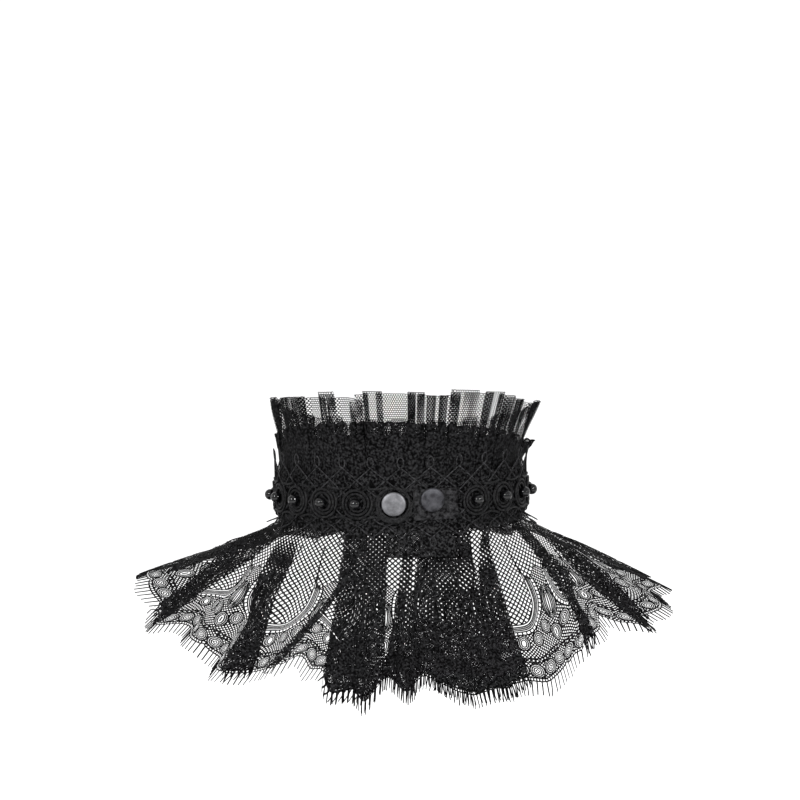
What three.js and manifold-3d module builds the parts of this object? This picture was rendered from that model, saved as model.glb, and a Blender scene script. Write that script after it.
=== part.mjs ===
// Ruffled lace collar: a padded strip that goes once round the neck and laps over itself at the back,
// where two snaps close it. A guipure lace hides the joints between the strip and its ruffles, and a gimp
// braid of rosettes with a bead in each runs along its middle up to a plain woven tab under the second snap.
// A net and a scalloped lace stand up from the top edge, and a lace with an eyelash fringe spreads from the
// bottom edge.
// Millimetres, +Z up. The origin is the middle of the neck opening at the height of the rosettes. The
// closure is at -Y, and angles are in degrees from there, growing towards +X. Depths are measured outwards
// from the strip's inner face.
import * as THREE from "three";
import { mergeVertices } from "three/addons/utils/BufferGeometryUtils.js";
import Module from "manifold-3d";

const wasm = await Module();
wasm.setup();

// Driving dimensions.
const GAP = 0.3; // between neighbouring pieces
const NECK = { halfWidth: 61.9, halfDepth: 60 }; // the strip's inner face
const DROOP = { from: 50, to: 150, drop: 4 }; // how the whole collar sinks towards the throat
const BAND = { thickness: 2.7, bottom: -14, top: 14, lapEnd: 386, underEnd: -12 };
const UNDERLAP = { thickness: 1.2, depth: -2.7, rampFrom: 28, rampTo: 34 };
const SEAM = { start: 26.2, end: 385.8 }; // where each trim starts and ends, at the lap's edge
const CLOTH = 1.0; // wall of a ruffle
const GUIPURE = {
  thickness: 1.2, zigzags: 27, valleyTop: 16.5, tipTop: 22, // the upper edge's heights
  turn: -10.5, settled: 0.3, // where it leaves the strip, and the share of its lower part that this takes
  valleyDown: 0.2, tipDown: 0.38, // the lower edge, as shares of the hanging lace
};
const NET = { depth: 0.5, side: 47, backRise: 8.5, frontDrop: 14, rightDrop: 3 };
const STANDING_LACE = {
  clear: 0.6, side: 29.5, backRise: 7.5, frontDrop: 2, rightDrop: 2.5, scallop: 1.6, scallops: 42,
};
const LEAN = { middle: 6.5, right: 3.5 }; // how far the net's top edge leans out
const PLEAT = { depth: 1.9, ramp: 2.4, clear: 1.6, flatUntil: 22.4 };
const HANGING_LACE = { depth: 1.2, length: 88, foldsFrom: 0.33, foldsOpen: 1.05, scallop: 3, scallops: 24 };
const FRINGE = 8; // length of the eyelashes
const ROSETTE = { first: 35.1, pitch: 16.93, beads: 19, outer: 9.2, crest: 7.5, inner: 3.2, segments: 14 };
const GIMP = { height: 2.0, fall: 0.9 }; // how far a rosette stands up, and how much lower its edges are
const BEAD_RADIUS = 2.9;
const LINK = { length: 8, width: 2.4, height: 1.4, z: -5 };
const TAB = { from: 365.4, to: 385.8, bottom: -9, top: 7, thickness: 1 };
const CAP = { radius: 6.25, height: 2.1, rim: 0.7, crown: 3.5, crownFall: 0.15, shoulder: 5.6, fall: 0.6 };
const CAP_CLEARANCE = 0.65; // between the first cap and the gimp round it
const POST = { radius: 1.9, hole: 2.3, socketRadius: 4.6, socket: 1.4, undercut: 0.3 };
const STUD = { radius: 1.1, disc: 4.8, thickness: 1.0 };
const SNAP_SEGMENTS = { cap: 24, hidden: 16 };

// The two snaps, as the lap shows them from behind, and what lies under each cap.
const SNAPS = [
  { name: "left", angle: 356.7, z: -0.3, under: 0 },
  { name: "right", angle: 373.6, z: 1.5, under: TAB.thickness + GAP },
];

// Outer faces of the box pleats in the standing ruffles: middle and width, in degrees.
const PLEATS = [
  { at: 29, wide: 10 }, { at: 43.5, wide: 8 }, { at: 62, wide: 10 }, { at: 79, wide: 9 },
  { at: 95, wide: 8 }, { at: 112, wide: 10 }, { at: 129, wide: 9 }, { at: 145, wide: 8 },
  { at: 162, wide: 10 }, { at: 179, wide: 9 }, { at: 195, wide: 8 }, { at: 212, wide: 10 },
  { at: 229, wide: 9 }, { at: 245, wide: 8 }, { at: 262, wide: 10 }, { at: 281, wide: 9 },
  { at: 303, wide: 13 }, { at: 326.5, wide: 8 }, { at: 341.7, wide: 9 }, { at: 354.7, wide: 7 },
  { at: 367.5, wide: 7 },
];

// Folds of the hanging lace: angle in degrees, and how far each crest or valley lies at the hem out from
// the lace's mean surface and up from it. Past the last row, the hidden folds follow HIDDEN_FOLDS.
const FOLDS = [
  { at: 264, out: 4, up: 1 }, { at: 272, out: 4, up: 0 }, { at: 280, out: -5, up: 3 },
  { at: 286, out: 5, up: -3 }, { at: 294, out: -5, up: 1 }, { at: 301, out: 5, up: 0 },
  { at: 308, out: -4, up: 0 }, { at: 314, out: 5, up: -2 }, { at: 320, out: -4, up: 0 },
  { at: 328, out: 5, up: -1 }, { at: 338, out: -4, up: 5 }, { at: 342.5, out: 5, up: -4 },
  { at: 347, out: -3, up: -2 }, { at: 351.5, out: 5, up: -6 }, { at: 356, out: -5, up: -1 },
  { at: 360.5, out: 6, up: -3 }, { at: 366, out: -5, up: 3 }, { at: 374, out: 4, up: -1 },
  { at: 380, out: -3, up: -2 }, { at: 385, out: 2, up: -3 }, { at: 391, out: -1, up: -1 },
  { at: 397, out: 1.5, up: -1 }, { at: 404, out: -1, up: 1 }, { at: 413, out: 4, up: 0 },
  { at: 419, out: -5, up: 3 }, { at: 425, out: 4, up: -1 }, { at: 432, out: -5, up: 0 },
  { at: 440, out: 4, up: -2 }, { at: 447, out: -4, up: 0 }, { at: 453, out: 4, up: 0 },
];
const HIDDEN_FOLDS = { count: 21, out: 4.5, up: 2 };

// Where the mean surface of the hanging lace's hem lies: angle, how far out from the strip, and height
// before the droop. bend is the control point that the lace turns at, just under the strip.
const HEM = [
  { at: 0, out: 50, z: -86, bendOut: 9, bendZ: -31 },
  { at: 25, out: 51, z: -88, bendOut: 9, bendZ: -31 },
  { at: 45, out: 56, z: -76, bendOut: 11, bendZ: -29 },
  { at: 66, out: 64, z: -62, bendOut: 12, bendZ: -26 },
  { at: 90, out: 68, z: -53, bendOut: 12, bendZ: -22 },
  { at: 120, out: 68, z: -49, bendOut: 12, bendZ: -20 },
  { at: 135, out: 68, z: -41, bendOut: 12, bendZ: -19 },
  { at: 150, out: 69, z: -35, bendOut: 12, bendZ: -19 },
  { at: 180, out: 69, z: -34.5, bendOut: 12, bendZ: -19 },
  { at: 210, out: 68, z: -34.5, bendOut: 12, bendZ: -19 },
  { at: 225, out: 67, z: -40, bendOut: 12, bendZ: -19 },
  { at: 240, out: 66, z: -42, bendOut: 12, bendZ: -19 },
  { at: 270, out: 66, z: -39, bendOut: 12, bendZ: -19 },
  { at: 286, out: 64, z: -60, bendOut: 12, bendZ: -23 },
  { at: 309, out: 59, z: -74, bendOut: 11, bendZ: -28 },
  { at: 335, out: 53, z: -78, bendOut: 9, bendZ: -30 },
  { at: 360, out: 50, z: -86, bendOut: 9, bendZ: -31 },
];

const radians = THREE.MathUtils.degToRad;
const smooth = (x, from, to) => THREE.MathUtils.smoothstep(x, from, to);
const wave = (x) => 1 - Math.abs(((((x % 1) + 1) % 1) * 2) - 1); // 0 at whole numbers, 1 halfway

// An angle brought into the turn that starts at from.
const turned = (angle, from = 0) => ((((angle - from) % 360) + 360) % 360) + from;

// A place in the strip's own terms, as a point in space.
function place(angle, z, depth) {
  const x = Math.sin(radians(angle));
  const y = -Math.cos(radians(angle));
  const out = new THREE.Vector2(x / NECK.halfWidth, y / NECK.halfDepth).setLength(depth);
  const droop = DROOP.drop * smooth(Math.abs(turned(angle, -180)), DROOP.from, DROOP.to);
  return new THREE.Vector3(NECK.halfWidth * x + out.x, NECK.halfDepth * y + out.y, z - droop);
}

// A column of a table at an angle, eased from each row to the next.
function eased(rows, angle, key) {
  const next = rows.findIndex((row) => row.at > angle);
  const [a, b] = [rows[next - 1], rows[next]];
  const share = (angle - a.at) / (b.at - a.at);
  return THREE.MathUtils.lerp(a[key], b[key], (1 - Math.cos(Math.PI * share)) / 2);
}

const aroundHem = (angle, key) => eased(HEM, turned(angle), key);

// A closed thin wall round a surface. surface(angle, v) gives its points, rows are the values of v from its
// lower edge to its upper one, as functions of the angle, and inner and outer are the wall's faces, as
// distances from the surface along its normal.
function wall(surface, angles, rows, inner, outer) {
  const across = rows.length;
  const sides = [inner, outer].map((off) =>
    angles.flatMap((angle) =>
      rows.map((row) => {
        const v = row(angle);
        const along = surface(angle + 0.3, v).sub(surface(angle - 0.3, v));
        const up = surface(angle, v + 0.01).sub(surface(angle, v - 0.01));
        return surface(angle, v).addScaledVector(along.cross(up).normalize(), off(angle));
      }),
    ),
  );
  const half = sides[0].length;
  const triangles = [];
  const quad = (a, b, c, d) => triangles.push(a, b, c, a, c, d);
  for (let i = 0; i + 1 < angles.length; i++) {
    const here = i * across;
    const next = here + across;
    for (let j = 0; j + 1 < across; j++) {
      quad(half + here + j, half + next + j, half + next + j + 1, half + here + j + 1);
      quad(here + j, here + j + 1, next + j + 1, next + j);
    }
    const top = across - 1;
    quad(here, next, half + next, half + here);
    quad(here + top, half + here + top, half + next + top, next + top);
  }
  const last = (angles.length - 1) * across;
  for (let j = 0; j + 1 < across; j++) {
    quad(j, half + j, half + j + 1, j + 1);
    quad(last + j, last + j + 1, half + last + j + 1, half + last + j);
  }
  const geometry = new THREE.BufferGeometry().setFromPoints(sides.flat());
  geometry.setIndex(triangles);
  return geometry;
}

// Rows that are the same all round, and offsets that are.
const even = (values) => values.map((value) => () => value);
const flat = (value) => () => value;

// Evenly spaced numbers, both ends included.
function steps(from, to, count) {
  return Array.from({ length: count + 1 }, (_, i) => from + ((to - from) * i) / count);
}

// A three.js geometry as a solid that can be cut and joined, and back.
function solid(geometry) {
  const bare = new THREE.BufferGeometry().setAttribute("position", geometry.getAttribute("position"));
  bare.setIndex(geometry.index);
  const merged = mergeVertices(bare, 1e-4);
  return new wasm.Manifold(
    new wasm.Mesh({
      numProp: 3,
      vertProperties: merged.attributes.position.array,
      triVerts: new Uint32Array(merged.index.array),
    }),
  );
}

function geometryOf(made) {
  const mesh = made.getMesh();
  const geometry = new THREE.BufferGeometry();
  geometry.setAttribute("position", new THREE.BufferAttribute(mesh.vertProperties, 3));
  geometry.setIndex(new THREE.BufferAttribute(mesh.triVerts, 1));
  return geometry;
}

// A lathed shape whose axis points out of the strip at an angle and height. The profile's points are
// (radius, depth), and depth 0 is the strip's inner face.
function lathed(profile, angle, z, segments) {
  const closed = [...profile, profile[0]].map(([r, d]) => new THREE.Vector2(r, d));
  const geometry = new THREE.LatheGeometry(closed, segments);
  const out = place(angle, 0, 1).sub(place(angle, 0, 0));
  geometry.applyQuaternion(new THREE.Quaternion().setFromUnitVectors(new THREE.Vector3(0, 1, 0), out));
  const foot = place(angle, z, 0);
  return geometry.translate(foot.x, foot.y, foot.z);
}

// The same, but on the flat strip, with X along it, -Y out and Z up, for shapes that are bent round the neck
// later.
function flatLathed(profile, x, z, segments) {
  const closed = [...profile, profile[0]].map(([r, d]) => new THREE.Vector2(r, d));
  return new THREE.LatheGeometry(closed, segments).rotateZ(Math.PI).translate(x, 0, z);
}

// Bends a flat strip round the neck. X is a length at the depth of the guipure's face.
const GUIPURE_FACE = BAND.thickness + GAP + GUIPURE.thickness;
const MM_PER_DEGREE = (Math.PI / 180) * ((NECK.halfWidth + NECK.halfDepth) / 2 + GUIPURE_FACE);
function bent(geometry) {
  const position = geometry.getAttribute("position");
  for (let i = 0; i < position.count; i++) {
    const point = place(position.getX(i) / MM_PER_DEGREE, position.getZ(i), -position.getY(i));
    position.setXYZ(i, point.x, point.y, point.z);
  }
  return geometry;
}

// The padded strip, with its thinner underlap and the holes for the snaps' posts.
function neckBand() {
  const main = (angle) => smooth(angle, UNDERLAP.rampFrom, UNDERLAP.rampTo);
  const middle = (angle) => THREE.MathUtils.lerp(UNDERLAP.depth, BAND.thickness / 2, main(angle));
  const half = (angle) => THREE.MathUtils.lerp(UNDERLAP.thickness, BAND.thickness, main(angle)) / 2;
  const surface = (angle, z) => place(angle, z, middle(angle));
  const angles = [
    ...steps(BAND.underEnd, UNDERLAP.rampFrom, 10),
    ...steps(UNDERLAP.rampFrom, UNDERLAP.rampTo, 4).slice(1),
    ...steps(UNDERLAP.rampTo, BAND.lapEnd, 90).slice(1),
  ];
  let strip = solid(wall(surface, angles, even([BAND.bottom, BAND.top]), (angle) => -half(angle), half));
  for (const snap of SNAPS) strip = strip.subtract(postHole(snap));
  return geometryOf(strip);
}

// A hole for a post, through all that a snap closes.
function postHole({ angle, z }) {
  const from = UNDERLAP.depth - UNDERLAP.thickness;
  const to = GUIPURE_FACE + TAB.thickness + 2 * GAP;
  const profile = [[0, from], [POST.hole, from], [POST.hole, to], [0, to]];
  return solid(lathed(profile, angle, z, SNAP_SEGMENTS.hidden));
}

// The middle of the net ruffle where its pleats lie flat: how far out it is at a height.
function standingDepth(angle, z) {
  const lean = LEAN.middle + LEAN.right * Math.sin(radians(angle));
  const rise = Math.max(0, (z - BAND.top) / (NET.side - BAND.top));
  return NET.depth + lean * Math.pow(rise, 1.3);
}

// From -1 on a pleat's inner face to 1 on its outer face.
function pleatAt(angle) {
  const faces = PLEATS.map(({ at, wide }) => {
    const away = Math.abs(turned(angle - at, -180));
    return THREE.MathUtils.clamp((wide / 2 + PLEAT.ramp / 2 - away) / PLEAT.ramp, 0, 1);
  });
  return 2 * Math.max(...faces) - 1;
}

// The angles at which a trim that follows the pleats bends, and those of a finer edge between them.
function pleatAngles(between = []) {
  const corners = PLEATS.flatMap(({ at, wide }) =>
    [-1, 1].flatMap((side) => [-1, 1].map((end) => at + (side * wide + end * PLEAT.ramp) / 2)),
  );
  const ends = [SEAM.start, SEAM.end];
  const inside = (angle) => angle > ends[0] + 0.5 && angle < ends[1] - 0.5;
  const fixed = [...ends, ...corners.map((angle) => turned(angle, ends[0])).filter(inside)];
  const clear = (angle) => inside(angle) && fixed.every((other) => Math.abs(other - angle) > PLEAT.clear);
  return [...fixed, ...between.filter(clear)].sort((a, b) => a - b);
}

// The surface that both standing ruffles follow.
function standing(angle, z) {
  const open = smooth(z, PLEAT.flatUntil, NET.side);
  return place(angle, z, standingDepth(angle, z) + PLEAT.depth * open * pleatAt(angle));
}

// The height of a standing edge: higher at the back, lower in front and on the right.
function edgeHeight({ side, backRise, frontDrop, rightDrop }, angle) {
  const forward = Math.cos(radians(angle));
  const tilt = (forward > 0 ? backRise : frontDrop) * forward;
  return side + tilt - rightDrop * Math.sin(radians(angle));
}

const STANDING_ROWS = even([BAND.top + GAP, PLEAT.flatUntil]);
function netRuffle() {
  const behindLace = (angle) => edgeHeight(STANDING_LACE, angle) + STANDING_LACE.scallop / 2;
  const rows = [...STANDING_ROWS, behindLace, (angle) => edgeHeight(NET, angle)];
  return wall(standing, pleatAngles(), rows, flat(-CLOTH / 2), flat(CLOTH / 2));
}

function standingLaceRuffle() {
  const halfScallop = 180 / STANDING_LACE.scallops;
  const scallop = (angle) => STANDING_LACE.scallop * wave(angle / halfScallop / 2);
  const rows = [...STANDING_ROWS, (angle) => edgeHeight(STANDING_LACE, angle) + scallop(angle)];
  const angles = pleatAngles(steps(0, 420, 420 / halfScallop));
  const inner = CLOTH / 2 + STANDING_LACE.clear;
  return wall(standing, angles, rows, flat(inner), flat(inner + CLOTH));
}

// The hanging lace without its folds: a curve that leaves the strip downwards, bends out and runs to the hem.
// A share over 1 runs on straight, for the fringe.
function hanging(angle, share) {
  const t = Math.min(share, 1);
  const curve = (start, bend, end) => start * (1 - t) ** 2 + 2 * bend * t * (1 - t) + end * t * t;
  const beyond = Math.max(0, share - 1) * 2;
  const out = HANGING_LACE.depth + aroundHem(angle, "out");
  const bendOut = aroundHem(angle, "bendOut");
  const z = aroundHem(angle, "z");
  const bendZ = aroundHem(angle, "bendZ");
  return {
    depth: curve(HANGING_LACE.depth, bendOut, out) + beyond * (out - bendOut),
    z: curve(BAND.bottom - GAP - CLOTH / 2, bendZ, z) + beyond * (z - bendZ),
  };
}

// All the folds of one turn, the hidden ones filled in.
const lastFold = FOLDS[FOLDS.length - 1];
const hiddenStep = (FOLDS[0].at + 360 - lastFold.at) / (HIDDEN_FOLDS.count + 1);
const ALL_FOLDS = [
  ...FOLDS,
  ...Array.from({ length: HIDDEN_FOLDS.count }, (_, i) => ({
    at: lastFold.at + hiddenStep * (i + 1),
    out: i % 2 ? HIDDEN_FOLDS.out : -HIDDEN_FOLDS.out,
    up: i % 2 ? -HIDDEN_FOLDS.up : HIDDEN_FOLDS.up,
  })),
  { ...FOLDS[0], at: FOLDS[0].at + 360 },
];

// The folded hanging lace. The folds open towards its hem.
function folded(angle, share) {
  const { depth, z } = hanging(angle, share);
  const open = smooth(share, HANGING_LACE.foldsFrom, HANGING_LACE.foldsOpen);
  const turn = turned(angle, FOLDS[0].at);
  const up = open * eased(ALL_FOLDS, turn, "up");
  const out = open * eased(ALL_FOLDS, turn, "out");
  return place(angle, z + up, depth + out);
}

// The share of the hanging lace's length at which its scalloped hem lies.
function hemShare(angle) {
  const scallop = Math.sqrt(wave((angle * HANGING_LACE.scallops) / 360));
  return 1 - (HANGING_LACE.scallop * (1 - scallop)) / HANGING_LACE.length;
}

const LACE_ANGLES = steps(SEAM.start, SEAM.end, 144);
function hangingLaceRuffle() {
  const surface = (angle, share) => folded(angle, (1 - share) * hemShare(angle));
  return wall(surface, LACE_ANGLES, even([0, 0.22, 0.45, 0.7, 1]), flat(-CLOTH / 2), flat(CLOTH / 2));
}

function eyelashFringe() {
  const room = (GAP + 0.1) / HANGING_LACE.length;
  const reach = FRINGE / HANGING_LACE.length;
  const surface = (angle, share) => folded(angle, hemShare(angle) + room + reach * (1 - share));
  return wall(surface, LACE_ANGLES, even([0, 1]), flat(-CLOTH / 2), flat(CLOTH / 2));
}

// The guipure: flat on the strip, and over the start of the ruffles above and below it, with zigzag edges.
const GUIPURE_LEVELS = [0, 0.25, 0.4, 0.78, 1];
function guipureSurface(angle, share) {
  const zigzag = wave((angle * GUIPURE.zigzags) / 360);
  const off = GAP + GUIPURE.thickness / 2;
  if (share < GUIPURE_LEVELS[2]) {
    const down = 1 - share / GUIPURE_LEVELS[2];
    const far = THREE.MathUtils.lerp(GUIPURE.valleyDown, GUIPURE.tipDown, zigzag) * down;
    const { depth, z } = hanging(angle, far);
    const clear = BAND.thickness + off - HANGING_LACE.depth;
    const ahead = hanging(angle, far + 0.01);
    const slope = new THREE.Vector2(ahead.depth - depth, ahead.z - z).normalize();
    const left = smooth(down, 0, GUIPURE.settled);
    const height = THREE.MathUtils.lerp(GUIPURE.turn, z + clear * slope.x, left);
    return place(angle, height, THREE.MathUtils.lerp(BAND.thickness + off, depth - clear * slope.y, left));
  }
  const top = THREE.MathUtils.lerp(GUIPURE.valleyTop, GUIPURE.tipTop, zigzag);
  const high = (share - GUIPURE_LEVELS[2]) / (1 - GUIPURE_LEVELS[2]);
  const level = (GUIPURE_LEVELS[3] - GUIPURE_LEVELS[2]) / (1 - GUIPURE_LEVELS[2]);
  const z =
    high < level
      ? THREE.MathUtils.lerp(GUIPURE.turn, BAND.top, high / level)
      : THREE.MathUtils.lerp(BAND.top, top, (high - level) / (1 - level));
  return place(angle, z, standingDepth(angle, z) - NET.depth + BAND.thickness + off);
}

function guipureBand() {
  const angles = steps(SEAM.start, SEAM.end, 2 * GUIPURE.zigzags);
  const half = GUIPURE.thickness / 2;
  let lace = solid(wall(guipureSurface, angles, even(GUIPURE_LEVELS), flat(-half), flat(half)));
  for (const snap of SNAPS) lace = lace.subtract(postHole(snap));
  return geometryOf(lace);
}

// The plain woven tab under the second snap.
function closureTab() {
  const surface = (angle, z) => place(angle, z, GUIPURE_FACE + GAP + TAB.thickness / 2);
  const half = TAB.thickness / 2;
  const rows = even([TAB.bottom, TAB.top]);
  const tab = wall(surface, steps(TAB.from, TAB.to, 6), rows, flat(-half), flat(half));
  return geometryOf(solid(tab).subtract(postHole(SNAPS[1])));
}

// The gimp braid: a chain of coiled rosettes, joined by short links, with an open ring round the first
// snap.
const BEAD_ANGLES = Array.from({ length: ROSETTE.beads }, (_, i) => ROSETTE.first + ROSETTE.pitch * i);
function gimpBraid() {
  const foot = GUIPURE_FACE + GAP;
  const top = foot + GIMP.height;
  const side = top - GIMP.fall;
  const coil = (inner) => [
    [inner, foot], [ROSETTE.outer, foot], [ROSETTE.outer, side], [ROSETTE.crest, top], [inner, side],
  ];
  const centres = [
    ...BEAD_ANGLES.map((angle) => ({ inner: ROSETTE.inner, angle, z: 0 })),
    { inner: CAP.radius + CAP_CLEARANCE, ...SNAPS[0] },
  ];
  let braid = null;
  centres.forEach(({ inner, angle, z }, i) => {
    const x = angle * MM_PER_DEGREE;
    const rosette = solid(flatLathed(coil(inner), x, z, ROSETTE.segments));
    braid = braid ? braid.add(rosette) : rosette;
    const before = centres[i - 1];
    if (before) {
      const middle = (x + before.angle * MM_PER_DEGREE) / 2;
      const link = new THREE.BoxGeometry(LINK.length, LINK.height, LINK.width);
      link.translate(middle, -foot - LINK.height / 2, LINK.z + (z + before.z) / 2);
      braid = braid.add(solid(link));
    }
  });
  return bent(geometryOf(braid));
}

function bead(angle) {
  const centre = place(angle, 0, GUIPURE_FACE + GAP + BEAD_RADIUS);
  return new THREE.SphereGeometry(BEAD_RADIUS, 10, 7).translate(centre.x, centre.y, centre.z);
}

// A snap's cap with its post and socket, riveted through the guipure and the lap.
const SOCKET_ROOF = -2 * GAP; // depth of the socket's inner end
function snapCap({ angle, z, under }) {
  const foot = GUIPURE_FACE + GAP + under;
  const top = foot + CAP.height;
  const profile = [
    [0, SOCKET_ROOF], [POST.radius, SOCKET_ROOF], [POST.radius, -GAP - POST.socket],
    [POST.socketRadius, -GAP - POST.socket], [POST.socketRadius, -GAP], [POST.radius, -GAP],
    [POST.radius, foot], [CAP.radius - POST.undercut, foot], [CAP.radius, foot + CAP.rim],
    [CAP.shoulder, top - CAP.fall], [CAP.crown, top - CAP.crownFall], [0, top],
  ];
  return lathed(profile, angle, z, SNAP_SEGMENTS.cap);
}

// The stud that the cap's socket snaps on to, riveted through the underlap: one plain piece, out of sight.
function snapStud({ angle, z }) {
  const disc = UNDERLAP.depth - UNDERLAP.thickness / 2 - GAP;
  const tip = SOCKET_ROOF - GAP;
  const profile = [
    [0, disc - STUD.thickness], [STUD.disc, disc - STUD.thickness], [STUD.disc, disc],
    [STUD.radius, disc], [STUD.radius, tip], [0, tip],
  ];
  return lathed(profile, angle, z, SNAP_SEGMENTS.hidden);
}

function finish(color, roughness, metalness = 0) {
  return new THREE.MeshStandardMaterial({ color, roughness, metalness });
}
const MATERIALS = {
  band: finish(0x0b0b0c, 0.85),
  net: finish(0x161616, 0.8),
  lace: finish(0x0f0f11, 0.75),
  guipure: finish(0x0c0c0e, 0.7),
  gimp: finish(0x0b0b0d, 0.45),
  bead: finish(0x050506, 0.05),
  snap: finish(0x77777c, 0.35, 1),
};

const collar = new THREE.Group();
function add(name, geometry, material) {
  const mesh = new THREE.Mesh(geometry, material);
  mesh.name = name;
  collar.add(mesh);
}

add("neck_band", neckBand(), MATERIALS.band);
add("net_ruffle", netRuffle(), MATERIALS.net);
add("standing_lace_ruffle", standingLaceRuffle(), MATERIALS.lace);
add("hanging_lace_ruffle", hangingLaceRuffle(), MATERIALS.lace);
add("eyelash_fringe", eyelashFringe(), MATERIALS.lace);
add("guipure_band", guipureBand(), MATERIALS.guipure);
add("closure_tab", closureTab(), MATERIALS.band);
add("gimp_braid", gimpBraid(), MATERIALS.gimp);
BEAD_ANGLES.forEach((angle, i) => {
  add(`bead_${String(i + 1).padStart(2, "0")}`, bead(angle), MATERIALS.bead);
});
for (const snap of SNAPS) {
  add(`snap_cap_${snap.name}`, snapCap(snap), MATERIALS.snap);
  add(`snap_stud_${snap.name}`, snapStud(snap), MATERIALS.snap);
}

export default collar;
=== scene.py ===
"""The looks of a ruffled lace collar, laid round its solid model.

Inside the classes lengths are millimetres, and angles are degrees round the collar, from the closure at the
back and growing towards +X. Cloth is laid out flat first, as strips of thread in (along, across, lift), and
a surface then carries it to its place. Meshes are made in metres.
"""

import logging
import math
from dataclasses import dataclass, field
from enum import Enum
from functools import cached_property
from typing import Callable, Protocol, Sequence

import bpy
import numpy as np
from mathutils import Matrix, Vector


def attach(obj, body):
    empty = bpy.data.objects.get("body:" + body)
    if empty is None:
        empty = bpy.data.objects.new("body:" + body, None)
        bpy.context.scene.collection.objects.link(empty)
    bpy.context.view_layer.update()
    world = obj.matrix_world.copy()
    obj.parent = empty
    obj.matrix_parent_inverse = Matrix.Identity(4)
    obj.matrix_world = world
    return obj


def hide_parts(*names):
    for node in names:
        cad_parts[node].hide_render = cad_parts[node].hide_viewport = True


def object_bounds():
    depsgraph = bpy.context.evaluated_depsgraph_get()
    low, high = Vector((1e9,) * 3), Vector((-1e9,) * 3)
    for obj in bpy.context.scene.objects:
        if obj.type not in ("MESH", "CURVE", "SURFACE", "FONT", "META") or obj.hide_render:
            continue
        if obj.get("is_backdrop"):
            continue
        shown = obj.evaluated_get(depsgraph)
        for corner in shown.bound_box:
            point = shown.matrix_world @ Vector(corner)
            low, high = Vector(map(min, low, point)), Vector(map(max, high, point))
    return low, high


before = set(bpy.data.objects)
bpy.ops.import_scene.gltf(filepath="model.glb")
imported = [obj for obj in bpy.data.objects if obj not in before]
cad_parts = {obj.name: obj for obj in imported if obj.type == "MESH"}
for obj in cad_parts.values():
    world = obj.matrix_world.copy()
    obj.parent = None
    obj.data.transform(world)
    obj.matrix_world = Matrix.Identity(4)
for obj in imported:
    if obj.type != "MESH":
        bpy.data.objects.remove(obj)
CAD_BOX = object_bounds()

logging.basicConfig(level=logging.INFO, format="%(message)s")
LOG = logging.getLogger("collar")
MM = 0.001
TURN = 360.0
TINY = 1e-9  # keeps a length from dividing by nothing
BODY = "root"
Array = np.ndarray
Piece = bpy.types.Object
Material = bpy.types.Material
Socket = bpy.types.NodeSocket
Colour = tuple[float, float, float]
Span = tuple[float, float]
Pair = Sequence[float]  # (along, across)
Mask = Callable[[Array, Array], Array]  # says which places stay, from along and across
Surface = Callable[[Array, Array, Array], Array]  # gives places in space, from along, across and lift


def smooth(x: Array, low: float, high: float) -> Array:
    """Eases from 0 at low to 1 at high."""
    t = np.clip((np.asarray(x, float) - low) / (high - low), 0, 1)
    return t * t * (3 - 2 * t)


def turned(angle: Array, start: float = 0.0) -> Array:
    """Brings angles into the turn that starts at start."""
    return np.mod(np.asarray(angle, float) - start, TURN) + start


def wave(x: Array) -> Array:
    """A triangle wave that is 0 at whole numbers and 1 halfway between them."""
    return 1 - np.abs(np.mod(x, 1) * 2 - 1)


def eased(rows: Array, angle: Array, column: int) -> Array:
    """Reads a table between its rows.

    Args:
        rows: the table, whose first column is the angle.
        angle: where to read it.
        column: which column to read.

    Returns:
        The column's values, eased from each row to the next.
    """
    at = rows[:, 0]
    i = np.clip(np.searchsorted(at, angle, side="right") - 1, 0, len(at) - 2)
    share = (angle - at[i]) / (at[i + 1] - at[i])
    low, high = rows[i, column], rows[i + 1, column]
    return low + (high - low) * (1 - np.cos(np.pi * share)) / 2


def between(low: Array, high: Array, share: Array) -> Array:
    """The value at a share of the way from low to high."""
    return low + (high - low) * share


def lengths(way: Array) -> Array:
    """The length of a line up to each of its points."""
    return np.concatenate([[0.0], np.cumsum(np.linalg.norm(np.diff(way, axis=0), axis=1))])


def tube(sections: int, sides: int) -> Array:
    """The quads of a closed tube: between its sections, and over its two ends."""
    here, k = np.arange(sections - 1)[:, None] * sides, np.arange(sides)[None, :]
    beside = (k + 1) % sides
    faces = [np.stack([here + k, here + beside, here + sides + beside, here + sides + k], 2).reshape(-1, 4)]
    for i in range(sides // 2 - 1):
        cap = np.array([[i, i + 1, sides - 2 - i, sides - 1 - i]])
        faces += [cap[:, ::-1], cap + (sections - 1) * sides]
    return np.concatenate(faces)


# Shaders


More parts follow.
